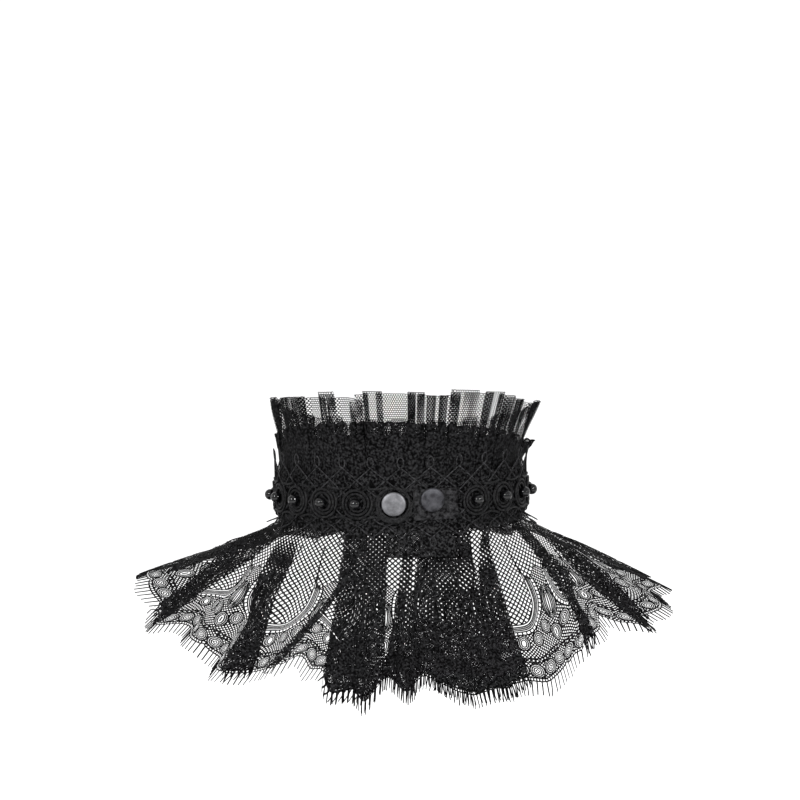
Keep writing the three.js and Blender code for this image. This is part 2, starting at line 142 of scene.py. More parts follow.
class Value:
    """A number in a shader, which Python's arithmetic works on."""

    def __init__(self, tree: "Shader", socket: Socket) -> None:
        """Wraps an output socket of a shader's node."""
        self.tree = tree
        self.socket = socket

    def math(self, operation: str, *others: "Value | float", first: "Value | float | None" = None) -> "Value":
        """Adds a Math node.

        Args:
            operation: the Math node's operation.
            others: the numbers after this one.
            first: a number that stands before this one instead.

        Returns:
            The node's result.
        """
        numbers = [self, *others] if first is None else [first, self]
        return self.tree.value("ShaderNodeMath", {"operation": operation}, dict(enumerate(numbers)))

    def __add__(self, other: "Value | float") -> "Value":
        """This number plus another."""
        return self.math("ADD", other)

    __radd__ = __add__

    def __sub__(self, other: "Value | float") -> "Value":
        """This number less another."""
        return self.math("SUBTRACT", other)

    def __rsub__(self, other: float) -> "Value":
        """Another number less this one."""
        return self.math("SUBTRACT", first=other)

    def __mul__(self, other: "Value | float") -> "Value":
        """This number times another."""
        return self.math("MULTIPLY", other)

    __rmul__ = __mul__

    def sine(self) -> "Value":
        """The sine of this number."""
        return self.math("SINE")

    def size(self) -> "Value":
        """This number without its sign."""
        return self.math("ABSOLUTE")

    def over(self, limit: float) -> "Value":
        """1 where this number is over a limit, else 0."""
        return self.math("GREATER_THAN", limit)


class Shader:
    """A material under construction."""

    def __init__(self, name: str) -> None:
        """Starts a material that has only its output."""
        self.material = bpy.data.materials.new(name)
        self.material.use_nodes = True
        self.nodes = self.material.node_tree.nodes
        self.nodes.clear()
        self.output = self.nodes.new("ShaderNodeOutputMaterial")

    def node(self, kind: str, settings: dict | None = None, inputs: dict | None = None) -> bpy.types.Node:
        """Adds a node.

        Args:
            kind: the node's type.
            settings: its properties.
            inputs: numbers, colours, values or sockets, by the input's name or place.

        Returns:
            The node.
        """
        node = self.nodes.new(kind)
        for key, setting in (settings or {}).items():
            setattr(node, key, setting)
        for key, given in (inputs or {}).items():
            given = given.socket if isinstance(given, Value) else given
            if isinstance(given, Socket):
                self.material.node_tree.links.new(given, node.inputs[key])
            else:
                node.inputs[key].default_value = given
        return node

    def value(self, kind: str, settings: dict | None = None, inputs: dict | None = None) -> Value:
        """Adds a node and wraps its first output."""
        return Value(self, self.node(kind, settings, inputs).outputs[0])

    def place(self, source: str) -> Socket:
        """The piece's own coordinates, in metres: Object for its place in the collar, UV for its map."""
        return self.node("ShaderNodeTexCoord").outputs[source]

    def threadwise(self) -> tuple[Value, Value]:
        """The lengths along a thread and across it, from the piece's map."""
        parts = self.node("ShaderNodeSeparateXYZ", None, {0: self.place("UV")}).outputs
        return Value(self, parts[0]), Value(self, parts[1])

    def noise(self, scale: float, detail: float = 2.0) -> Value:
        """Noise of about scale bumps a metre."""
        inputs = {"Vector": self.place("Object"), "Scale": scale, "Detail": detail}
        return self.value("ShaderNodeTexNoise", None, inputs)

    def painted_sheen_flecks(self, scale: float, strength: float, detail: float = 1.0) -> Value:
        """Noise that goes as far below 0 as above it: painted sheen and shade, where a thread would catch the
        light or turn away from it.
        """
        return (self.noise(scale, detail) - 0.5) * strength

    def blend(self, low: Sequence[float], high: Sequence[float], share: Value) -> Socket:
        """A colour between two."""
        inputs = {0: share, 6: (*low, 1), 7: (*high, 1)}
        return self.node("ShaderNodeMix", {"data_type": "RGBA"}, inputs).outputs[2]

    def bump(self, height: Value, distance: float) -> Socket:
        """A normal that height lifts by up to distance metres."""
        inputs = {"Height": height, "Distance": distance, "Strength": 1.0}
        return self.node("ShaderNodeBump", None, inputs).outputs["Normal"]

    def surface(self, **inputs: object) -> Material:
        """Finishes the material with a Principled shader."""
        named = {key.replace("_", " "): given for key, given in inputs.items()}
        shader = self.node("ShaderNodeBsdfPrincipled", None, named)
        self.material.node_tree.links.new(shader.outputs[0], self.output.inputs["Surface"])
        return self.material


class Finish(Protocol):
    """Anything that can be put on a piece."""

    @property
    def name(self) -> str:
        """The material's name."""

    def material(self) -> Material:
        """Makes the material."""


@dataclass(frozen=True)
class ThreadFinish:
    """Spun thread. Its twist follows the strip's own map: along it and across it, in metres."""

    name: str
    dark: Colour = (0.0003, 0.0003, 0.00033)
    light: Colour = (0.0105, 0.0105, 0.011)
    twist: float = 1400.0  # turns a metre
    slant: float = 1.4  # how far the plies lean over
    fibres: float = 2600.0  # a metre
    batches: float = 60.0  # a metre, of the dye's unevenness
    each: float = 0.3  # how much the plies, fibres and batches each lighten the thread; the plies' share is a painted highlight on their crests
    base: float = 0.15  # how much darker it is all over
    painted_sheen_flecks: float = 820.0  # a metre, of painted sheen and shade: where the thread would catch the light or turn away from it
    painted_sheen: float = 3.4  # how strongly that painted sheen and shade shows in the colour
    raised: float = 0.00006
    rough: Span = (0.5, 0.78)
    gloss: float = 0.012

    def material(self) -> Material:
        """Makes the material."""
        shader = Shader(self.name)
        along, across = shader.threadwise()
        # The ply's crests lighten the colour as a painted highlight along the twist; the same wave also gives
        # the thread its real bump.
        ply = ((along + across * self.slant) * (self.twist * math.pi)).sine().size()
        fuzz = shader.noise(self.fibres, 3.0)
        # The flecks lighten and darken the colour: painted sheen and shade.
        shade = (ply + fuzz + shader.noise(self.batches)) * self.each + shader.painted_sheen_flecks(self.painted_sheen_flecks, self.painted_sheen)
        low, high = self.rough
        return shader.surface(
            Base_Color=shader.blend(self.dark, self.light, shade - self.base),
            Roughness=fuzz * (high - low) + low,
            Normal=shader.bump(ply * 0.8 + fuzz * 0.3, self.raised),
            Specular_IOR_Level=self.gloss,
        )


@dataclass(frozen=True)
class WovenFinish:
    """Plain-woven ribbon. Its weave follows the piece's own map, in metres."""

    name: str
    dark: Colour = (0.0004, 0.0004, 0.00045)
    light: Colour = (0.006, 0.006, 0.0066)
    yarns: float = 1700.0  # a metre
    raised: float = 0.00012
    slubs: float = 900.0  # a metre
    wear: float = 45.0  # worn patches a metre
    painted_sheen_flecks: float = 500.0  # a metre, of painted sheen and shade: where its loops would catch the light or turn away from it
    painted_sheen: float = 1.0  # how strongly that painted sheen and shade shows in the colour
    base: float = 0.2  # how much darker it is all over
    rough: Span = (0.62, 0.87)
    gloss: float = 0.02

    def material(self) -> Material:
        """Makes the material."""
        shader = Shader(self.name)
        warp, weft = ((part * (self.yarns * math.pi)).sine() for part in shader.threadwise())
        over = (warp * weft).over(0.0)
        relief = over * warp.size() + (1 - over) * weft.size()
        slub = shader.noise(self.slubs, 3.0)
        # The flecks lighten and darken the colour: painted sheen and shade.
        shade = (relief + slub) * 0.4 + shader.noise(self.wear) * 0.3 + shader.painted_sheen_flecks(self.painted_sheen_flecks, self.painted_sheen)
        low, high = self.rough
        return shader.surface(
            Base_Color=shader.blend(self.dark, self.light, shade - self.base),
            Roughness=slub * (high - low) + low,
            Normal=shader.bump(relief + slub * 0.4, self.raised),
            Specular_IOR_Level=self.gloss,
        )


@dataclass(frozen=True)
class JetFinish:
    """Polished black glass, with the faint waviness and dust of a pressed bead."""

    name: str = "jet bead"
    clean: Colour = (0.0005, 0.0005, 0.0006)
    dusty: Colour = (0.002, 0.002, 0.0023)
    waves: float = 520.0  # a metre
    raised: float = 0.000006
    specks: float = 3200.0  # of dust, a metre
    rough: Span = (0.01, 0.05)
    gloss: float = 0.2

    def material(self) -> Material:
        """Makes the material."""
        shader = Shader(self.name)
        dust = shader.noise(self.specks)
        low, high = self.rough
        return shader.surface(
            Base_Color=shader.blend(self.clean, self.dusty, dust),
            Roughness=dust * (high - low) + low,
            Normal=shader.bump(shader.noise(self.waves, 1.0), self.raised),
            Specular_IOR_Level=self.gloss,
        )


@dataclass(frozen=True)
class MetalFinish:
    """Satin metal, with a brushed grain and small scuffs."""

    name: str
    dark: Colour
    light: Colour
    rough: float
    grains: float = 1500.0  # a metre
    patches: float = 260.0  # of patina, a metre
    patina: float = 2.2  # how strongly they show
    scuffs: float = 700.0  # a metre
    raised: float = 0.00004

    def material(self) -> Material:
        """Makes the material."""
        shader = Shader(self.name)
        grain = shader.noise(self.grains, 4.0)
        patch = shader.noise(self.patches, 3.0)
        shade = (patch - 0.5) * self.patina + grain * 0.5 + 0.25
        return shader.surface(
            Base_Color=shader.blend(self.dark, self.light, shade),
            Metallic=1.0,
            Roughness=grain * 0.14 + patch * 0.1 + self.rough,
            Normal=shader.bump(grain * 0.3 + shader.noise(self.scuffs) * 0.4, self.raised),
        )


@dataclass(frozen=True)
class FloorFinish:
    """Matt white studio paper."""

    name: str = "studio paper"
    dark: Colour = (0.94, 0.94, 0.94)
    light: Colour = (0.97, 0.97, 0.97)
    fibres: float = 40.0  # a metre

    def material(self) -> Material:
        """Makes the material."""
        shader = Shader(self.name)
        fibre = shader.noise(self.fibres, 3.0)
        shade = shader.blend(self.dark, self.light, fibre)
        return shader.surface(Base_Color=shade, Roughness=fibre * 0.1 + 0.85)


class Trim(Enum):
    """The finishes of the collar's own pieces."""

    # Where fleck is given, it sets how strongly the painted sheen and shade show in a thread's or ribbon's
    # colour.
    BAND = WovenFinish("black ribbon weave")
    TAB = WovenFinish(
        "closure tab weave", light=(0.017, 0.017, 0.0178), yarns=1250.0, raised=0.0002, painted_sheen=2.5
    )
    NET = ThreadFinish("black net thread", rough=(0.55, 0.8))
    LACE = ThreadFinish("black lace thread")
    FRINGE = ThreadFinish("eyelash thread", rough=(0.6, 0.85))
    GUIPURE = ThreadFinish("guipure filling", light=(0.012, 0.012, 0.0125), painted_sheen=5.0)
    CORD = ThreadFinish(
        "guipure cord", (0.004, 0.004, 0.0042), (0.019, 0.019, 0.02), rough=(0.36, 0.6), gloss=0.03
    )
    GIMP = ThreadFinish(
        "gimp cord", light=(0.016, 0.016, 0.0166), twist=900.0, painted_sheen=1.5, raised=0.00018,
        rough=(0.32, 0.55), gloss=0.03,
    )
    BEAD = JetFinish()
    # The two caps are the same gunmetal with painted light and shade: the left cap's colour is painted
    # lighter and the right cap's darker, for how the light falls on each.
    CAP_LEFT_PAINTED_LIT = MetalFinish("gunmetal snap cap", (0.035, 0.035, 0.037), (0.112, 0.112, 0.118), 0.4)
    CAP_RIGHT_PAINTED_SHADE = MetalFinish("gunmetal snap cap painted in shade", (0.007, 0.007, 0.008), (0.042, 0.042, 0.046), 0.4)
    STUD = MetalFinish("brushed steel", (0.4, 0.4, 0.41), (0.55, 0.55, 0.56), 0.28)


# Flat work


@dataclass
class Strips:
    """Threads and cords laid out flat. A point is (along, across, lift) in millimetres."""

    points: list[Array] = field(default_factory=list)
    marks: list[Array] = field(default_factory=list)
    faces: list[Array] = field(default_factory=list)
    count: int = 0

    def take(self, points: Array, marks: Array, faces: Array) -> None:
        """Adds some points, what their map says, and the faces between them."""
        self.points.append(points)
        self.marks.append(marks)
        self.faces.append(faces + self.count)
        self.count += len(points)

    def arrays(self) -> tuple[Array, Array, Array]:
        """All the points, marks and faces, as one array of each."""
        return np.concatenate(self.points), np.concatenate(self.marks), np.concatenate(self.faces)

    def bars(self, starts: Array, ends: Array, width: float, lift: float = 0.0) -> None:
        """Lays short straight threads.

        Args:
            starts: where each starts, as (along, across).
            ends: where each ends.
            width: how wide they are.
            lift: how high they lie.
        """
        way = ends - starts
        length = np.linalg.norm(way, axis=1, keepdims=True)
        side = np.stack([-way[:, 1], way[:, 0]], 1) / np.maximum(length, TINY) * width / 2
        flat = np.stack([starts - side, ends - side, ends + side, starts + side], 1)
        points = np.concatenate([flat, np.full((len(flat), 4, 1), lift)], 2).reshape(-1, 3)
        marks = np.zeros((len(flat), 4, 2))
        marks[:, 1:3, 0] = length
        marks[:, 2:4, 1] = width
        marks[:, :, 0] += starts[:, :1]
        self.take(points, marks.reshape(-1, 2), np.arange(len(points)).reshape(-1, 4))

    def line(
        self, way: Array, width: float, ridge: float = 0.0, lift: float = 0.0, closed: bool = False
    ) -> None:
        """Lays one thread along a line.

        Args:
            way: the line's points, as (along, across).
            width: the thread's width.
            ridge: how much higher than its edges its middle is, or 0 for a flat one.
            lift: how high its edges lie.
            closed: whether it comes back to its first point.
        """
        side, along = self.sideways(way, closed)
        offsets = [-0.5, 0.0, 0.5] if ridge else [-0.5, 0.5]
        rows = len(offsets)
        points, marks = [], []
        for offset in offsets:
            rise = ridge * (offset == 0.0) + lift
            points.append(np.column_stack([way + side * width * offset, np.full(len(way), rise)]))
            marks.append(np.column_stack([along, np.full(len(way), width * (offset + 0.5))]))
        n = len(way)
        here = np.arange(n if closed else n - 1)
        after = (here + 1) % n
        quads = [
            np.column_stack([here * rows + k, after * rows + k, after * rows + k + 1, here * rows + k + 1])
            for k in range(rows - 1)
        ]
        order = np.stack(points, 1).reshape(-1, 3)
        self.take(order, np.stack(marks, 1).reshape(-1, 2), np.concatenate(quads))

    def cord(
        self, way: Array, radius: float, lift: Array | float = 0.0, sides: int = 6, taper: float = 1.0
    ) -> None:
        """Lays one round cord along a line, on its underside, and closes its ends.

        Args:
            way: the line's points, as (along, across).
            radius: the cord's radius.
            lift: how high its underside lies, all along or at each point.
            sides: how many sides its section has, an even number.
            taper: its radius at the end, as a share of that at the start.
        """
        side, along = self.sideways(way, closed=False)
        n = len(way)
        turn = np.arange(sides) / sides * 2 * np.pi
        thick = radius * np.linspace(1, taper, n)[:, None]
        flat = way[:, None, :] + side[:, None, :] * (np.cos(turn) * thick)[:, :, None]
        rise = np.broadcast_to(np.reshape(lift, (-1, 1)), (n, 1)) + radius + np.sin(turn) * thick
        points = np.concatenate([flat, rise[:, :, None]], 2).reshape(-1, 3)
        marks = np.stack(np.broadcast_arrays(along[:, None], turn * radius), 2).reshape(-1, 2)
        self.take(points, marks, tube(n, sides))

    @staticmethod
    def sideways(way: Array, closed: bool) -> tuple[Array, Array]:
        """The direction across a line at each point, and the length up to it."""
        if closed:
            ahead, behind = np.roll(way, -1, 0), np.roll(way, 1, 0)
        else:
            ahead, behind = np.vstack([way[1:], way[-1:]]), np.vstack([way[:1], way[:-1]])
        going = ahead - behind
        going /= np.maximum(np.linalg.norm(going, axis=1, keepdims=True), TINY)
        return np.column_stack([-going[:, 1], going[:, 0]]), lengths(way)

    def repeated(self, offsets: Sequence[float]) -> "Strips":
        """Copies this work along the cloth, once for each offset."""
        points, marks, faces = self.arrays()
        made = Strips()
        for offset in offsets:
            made.take(points + [offset, 0, 0], marks + [offset, 0], faces)
        return made

    def kept(self, low: float, high: float) -> "Strips":
        """This work cut off past two places along the cloth."""
        points, marks, faces = self.arrays()
        middle = points[faces][:, :, 0].mean(1)
        faces = faces[(middle > low) & (middle < high)]
        used, renamed = np.unique(faces, return_inverse=True)
        made = Strips()
        made.take(points[used], marks[used], renamed.reshape(-1, 4))
        return made

    def piece(self, name: str, surface: Surface, finish: Finish, slot: str) -> Piece:
        """Carries the work on to a surface.

        Args:
            name: the piece's name.
            surface: gives a point in space for each (along, across, lift).
            finish: what it is made of.
            slot: not used.

        Returns:
            The piece.
        """
        points, marks, faces = self.arrays()
        spots = surface(*points.T)
        at, step = points[len(points) // 2], 0.01
        near = np.vstack([at, at + [step, 0, 0], at + [0, step, 0], at + [0, 0, step]])
        origin, *axes = surface(*near.T)
        if np.linalg.det(np.array(axes) - origin) < 0:
            faces = faces[:, ::-1]
        return mesh_piece(name, spots, faces, marks, finish)

    def as_piece(self, name: str, finish: Finish, slot: str) -> Piece:
        """Makes a piece of work whose points are already places in space."""
        points, marks, faces = self.arrays()
        return mesh_piece(name, points, faces, marks, finish)


def mesh_piece(
    name: str, spots: Array, faces: Array, marks: Array, finish: Finish
) -> Piece:
    """Makes a smooth piece from points in millimetres.

    Args:
        name: the piece's name.
        spots: its points.
        faces: its quads.
        marks: what its map says at each point, in millimetres.
        finish: what it is made of.

    Returns:
        The piece, riding on the collar's only body.
    """
    mesh = bpy.data.meshes.new(name)
    mesh.from_pydata((spots * MM).tolist(), [], faces.tolist())
    layer = mesh.uv_layers.new(name="UVMap")
    corner = np.zeros(len(mesh.loops), np.int32)
    mesh.loops.foreach_get("vertex_index", corner)
    layer.data.foreach_set("uv", (marks[corner] * MM).ravel())
    mesh.shade_smooth()
    piece = bpy.data.objects.new(name, mesh)
    bpy.context.scene.collection.objects.link(piece)
    return dressed(piece, finish)


def dressed(piece: Piece, finish: Finish) -> Piece:
    """Gives a piece its finish and its place in the frame."""
    piece.data.materials.clear()
    piece.data.materials.append(Workshop.material(finish))
    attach(piece, BODY)
    return piece


class Workshop:
    """Keeps one material for each finish."""

    made: dict[str, Material] = {}

    @classmethod
    def material(cls, finish: Finish) -> Material:
        """The finish's material, made the first time that it is asked for."""
        if finish.name not in cls.made:
            cls.made[finish.name] = finish.material()
        return cls.made[finish.name]


def arc(centre: Pair, radii: Pair, start: float, end: float, step: float) -> Array:
    """Points along part of an ellipse.

    Args:
        centre: its middle, as (along, across).
        radii: its half sizes along and across.
        start: where it starts, in degrees from the end of the first half size.
        end: where it ends.
        step: about how far apart the points are.

    Returns:
        The points.
    """
    length = abs(math.radians(end - start)) * (radii[0] + radii[1]) / 2
    turn = np.radians(np.linspace(start, end, max(4, round(length / step)) + 1))
    return np.column_stack([centre[0] + radii[0] * np.cos(turn), centre[1] + radii[1] * np.sin(turn)])


def ring(centre: Pair, radii: Pair, step: float) -> Array:
    """Points round an ellipse, for a closed line."""
    return arc(centre, radii, 0, TURN, step)[:-1]


def spiral(centre: Pair, radii: Span, start: float, turns: float, count: int) -> Array:
    """The points of a coil, from its inner radius out to its outer one. It starts at start degrees."""
    share = np.linspace(0, 1, count)
    angle = math.radians(start) + share * turns * 2 * np.pi
    radius = between(*radii, share)
    return np.column_stack([centre[0] + radius * np.cos(angle), centre[1] + radius * np.sin(angle)])


def run(start: Pair, end: Pair, step: float) -> Array:
    """Points along a straight line, about step apart."""
    length = math.dist(start, end)
    share = np.linspace(0, 1, max(1, round(length / step)) + 1)[:, None]
    return np.asarray(start) + (np.asarray(end) - np.asarray(start)) * share


def diamonds(low: Pair, high: Pair, pitch: Pair, kept: Mask) -> tuple[Array, Array]:
    """The threads of a diamond net.

    Args:
        low: the net's lowest (along, across).
        high: its highest.
        pitch: the width and height of a diamond.
        kept: says which threads stay, from their middles.

    Returns:
        The starts and ends of the threads.
    """
    columns = np.arange(math.floor((high[0] - low[0]) / pitch[0]) + 1)
    rows = np.arange(math.floor(2 * (high[1] - low[1]) / pitch[1]))
    i, j = (grid.ravel() for grid in np.meshgrid(columns, rows))
    foot = np.column_stack([low[0] + (i + (j % 2) / 2) * pitch[0], low[1] + j * pitch[1] / 2])
    starts = np.concatenate([foot, foot])
    ends = np.concatenate([foot + [side * pitch[0] / 2, pitch[1] / 2] for side in (-1, 1)])
    middle = (starts + ends) / 2
    stay = kept(middle[:, 0], middle[:, 1])
    return starts[stay], ends[stay]


def hexagons(low: Pair, high: Pair, pitch: float) -> tuple[Array, Array]:
    """The threads of a hexagonal net whose meshes are pitch wide, as their starts and ends."""
    edge = pitch / math.sqrt(3)
    columns = np.arange(math.floor((high[0] - low[0]) / pitch) + 1)
    rows = np.arange(math.floor((high[1] - low[1]) / (1.5 * edge)))
    i, j = (grid.ravel() for grid in np.meshgrid(columns, rows))
    foot = np.column_stack([low[0] + (i + (j % 2) / 2) * pitch, low[1] + j * 1.5 * edge])
    head = foot + [0, edge]
    starts = [foot, head, head]
    ends = [head, head + [pitch / 2, edge / 2], head + [-pitch / 2, edge / 2]]
    return np.concatenate(starts), np.concatenate(ends)


# The collar's line, and the surfaces that cloth follows


@dataclass(frozen=True)
class NeckLine:
    """The collar's way round: an oval that droops towards the front."""

    half_width: float = 61.9
    half_depth: float = 60.0
    droop_from: float = 50.0
    droop_to: float = 150.0
    droop: float = 4.0
    seam_start: float = 26.2
    seam_end: float = 385.8

    def place(self, angle: Array, z: Array, depth: Array) -> Array:
        """Points in space.

        Args:
            angle: degrees round the collar.
            z: heights before the droop.
            depth: distances out from the strip's inner face.

        Returns:
            The points, one a row.
        """
        a = np.radians(np.asarray(angle, float))
        x, y = np.sin(a), -np.cos(a)
        out = np.stack([x / self.half_width, y / self.half_depth], -1)
        out /= np.linalg.norm(out, axis=-1, keepdims=True)
        sunk = self.droop * smooth(np.abs(turned(angle, -180)), self.droop_from, self.droop_to)
        flat = np.stack([self.half_width * x, self.half_depth * y], -1) + out * np.asarray(depth)[..., None]
        return np.concatenate([flat, (z - sunk)[..., None]], -1)

    def stand(self, angle: float, z: float, depth: float) -> Matrix:
        """Puts something modelled at the origin, with its back to +Y, at a place round the collar."""
        spot = self.place(np.array(angle), np.array(z), np.array(depth))
        return Matrix.Translation(Vector(spot) * MM) @ Matrix.Rotation(math.radians(angle), 4, "Z")


@dataclass(frozen=True)
class Standing:
    """The surface of the two ruffles that stand up: box pleats that open towards their top edge."""

    neck: NeckLine
    base: float = 14.3
    lean: float = 6.5
    lean_right: float = 3.5
    lean_from: float = 14.0
    lean_bend: float = 1.3
    level: float = 47.0
    pleat_depth: float = 1.9
    ramp: float = 2.4
    flat_until: float = 22.4
    net_depth: float = 0.5
    degree: float = 1.12  # cloth in a degree of pleat
    turn: float = 0.9  # the least cloth from one corner of a pleat to the next
    seam_gap: float = 0.3
    # Pleats: left and right edge, how far in from each edge the cloth is tripled, as a share of the width,
    # and how far the net stands over its line on the pleat and on the flat after it
    pleats: tuple[tuple[float, float, float, float, float], ...] = (
        (21.4, 34.0, 0.30, 2.5, 0.8), (37.2, 46.5, 0.34, 2.0, 0.4), (47.7, 60.8, 0.46, -1.2, -2.0),
        (76, 84, 0.4, -0.6, -1.6), (92, 99, 0.4, 0.5, -1.4), (108, 117, 0.4, 1.0, -1.2),
        (125, 133, 0.4, 0.2, -1.4), (141, 149, 0.4, 1.0, -1.2), (158, 167, 0.4, 0.0, -1.6),
        (175, 184, 0.4, 1.0, -1.0), (191, 199, 0.4, 0.4, -1.6), (208, 217, 0.4, 1.0, -1.2),
        (225, 233, 0.4, 0.0, -1.4), (241, 249, 0.4, 1.0, -1.2), (258, 267, 0.4, 0.2, -1.4),
        (277, 285, 0.4, -0.4, -1.6), (294.6, 313.8, 0.46, -1.7, -2.6), (322.9, 331.4, 0.46, 0.6, -2.8),
        (338.2, 344.2, 0.48, -6.6, -1.0), (344.8, 353.1, 0.3, 1.0, -0.6), (363.5, 370.6, 0.46, 0.8, -1.0),
        (371.4, 380.2, 0.42, -1.0, -0.8),
    )

    def lean_at(self, angle: Array, z: Array) -> Array:
        """How far out the net is at a height where its pleats lie flat."""
        lean = self.lean + self.lean_right * np.sin(np.radians(angle))
        rise = np.maximum(0, (z - self.lean_from) / (self.level - self.lean_from))
        return self.net_depth + lean * rise**self.lean_bend

    def pleat_at(self, angle: Array) -> Array:
        """From -1 on a pleat's inner face to 1 on its outer face."""
        best = np.zeros_like(np.asarray(angle, float))
        for left, right, *_ in self.pleats:
            away = np.abs(turned(angle - (left + right) / 2, -180))
            best = np.maximum(best, np.clip(((right - left + self.ramp) / 2 - away) / self.ramp, 0, 1))
        return 2 * best - 1

    def path(self) -> Array:
        """The pleated cloth's way: rows of (length of cloth, angle, layer, rise), layer 1 outermost."""
        over_seam, *rest = self.pleats
        flat = over_seam[4]
        rows = [(0.0, self.neck.seam_start + self.seam_gap, -1.0, flat)]
        for left, right, tripled, face, after in (*rest, over_seam):
            if right < rows[-1][1]:
                left, right = left + TURN, right + TURN
            inner_left, inner_right = between(left, right, tripled), between(right, left, tripled)
            half, half_after = (flat + face) / 2, (face + after) / 2
            steps = [
                (left, -1, flat), (inner_left, -1, flat), (inner_left, 0, half), (left, 0, half),
                (left, 1, face), (right, 1, face), (right, 0, half_after), (inner_right, 0, half_after),
                (inner_right, -1, after), (right, -1, after),
            ]
            flat = after
            for angle, layer, rise in steps[: 6 if right > self.neck.seam_end else None]:
                length = abs(angle - rows[-1][1]) * self.degree
                rows.append((rows[-1][0] + max(length, self.turn), angle, layer, rise))
        return np.array(rows)


@dataclass(frozen=True)
class StandingSheet:
    """One of the standing ruffles' own surface."""

    shape: Standing
    height: float  # of the flat cloth
    side: float  # the upper edge's height at the sides
    back_rise: float
    front_drop: float
    right_drop: float
    off: float  # how far outside the net's middle it lies
    uneven: float = 0.0  # share of the net's rise at its pleats
    flare: float = 0.0  # how far the fold on the right springs out
    gap: float = 0.26  # between layers at the foot
    gap_more: float = 0.55  # how much wider it is at the upper edge
    fold: float = 84.0  # the angle of the fold that springs out
    fold_half: float = 4.0
    fold_opens: Span = (15.0, 28.0)  # heights
    ripple: float = 0.35
    ripple_rate: float = 0.9  # radians in a millimetre

    def edge(self, angle: Array) -> Array:
        """The height of the upper edge: higher at the back, lower in front and on the right."""
        forward = np.cos(np.radians(angle))
        tilt = np.where(forward > 0, self.back_rise, self.front_drop) * forward
        return self.side + tilt - self.right_drop * np.sin(np.radians(angle))

    def place(self, along: Array, across: Array, lift: Array) -> Array:
        """Points in space, for a length along the cloth, a height up it and a lift off it."""
        shape, rows = self.shape, self.shape.path()
        angle, layer, rise = (np.interp(along, rows[:, 0], rows[:, column]) for column in (1, 2, 3))
        top = self.edge(angle) + self.uneven * rise
        z = shape.base + across / self.height * (top - shape.base)
        opened = smooth(z, shape.flat_until, shape.level)
        depth = shape.lean_at(angle, z) + shape.pleat_depth * opened * shape.pleat_at(angle)
        depth = depth + layer * (self.gap + self.gap_more * opened) + self.off + lift
        spring = np.exp(-(((turned(angle) - self.fold) / self.fold_half) ** 2)) * smooth(z, *self.fold_opens)
        ripple = self.ripple * np.sin(along * self.ripple_rate) * opened
        return shape.neck.place(angle, z, depth + self.flare * spring + ripple)

    def length(self) -> float:
        """The flat cloth's length."""
        return float(self.shape.path()[-1, 0])


class Over(Enum):
    """Which side's cloth lies outermost where the hanging lace laps over itself."""

    LEFT = 1.0
    RIGHT = -1.0


Edge = tuple[float, float, float]  # a fold's edge: its angles at three shares of the way to the hem
KNOTS = (0.2, 0.6, 1.0)  # those shares


@dataclass(frozen=True)
class Lap:
    """A place where the hanging lace folds back over itself."""

    left: Edge
    right: Edge
    over: Over = Over.LEFT


@dataclass(frozen=True)
class Panel:
    """The cloth from one fold's edge to the next."""

    start: Edge
    end: Edge
    layers: Span  # at its start and end, 1 outermost
    middle: float  # how far along the cloth its middle is
    wide: float  # at the hem


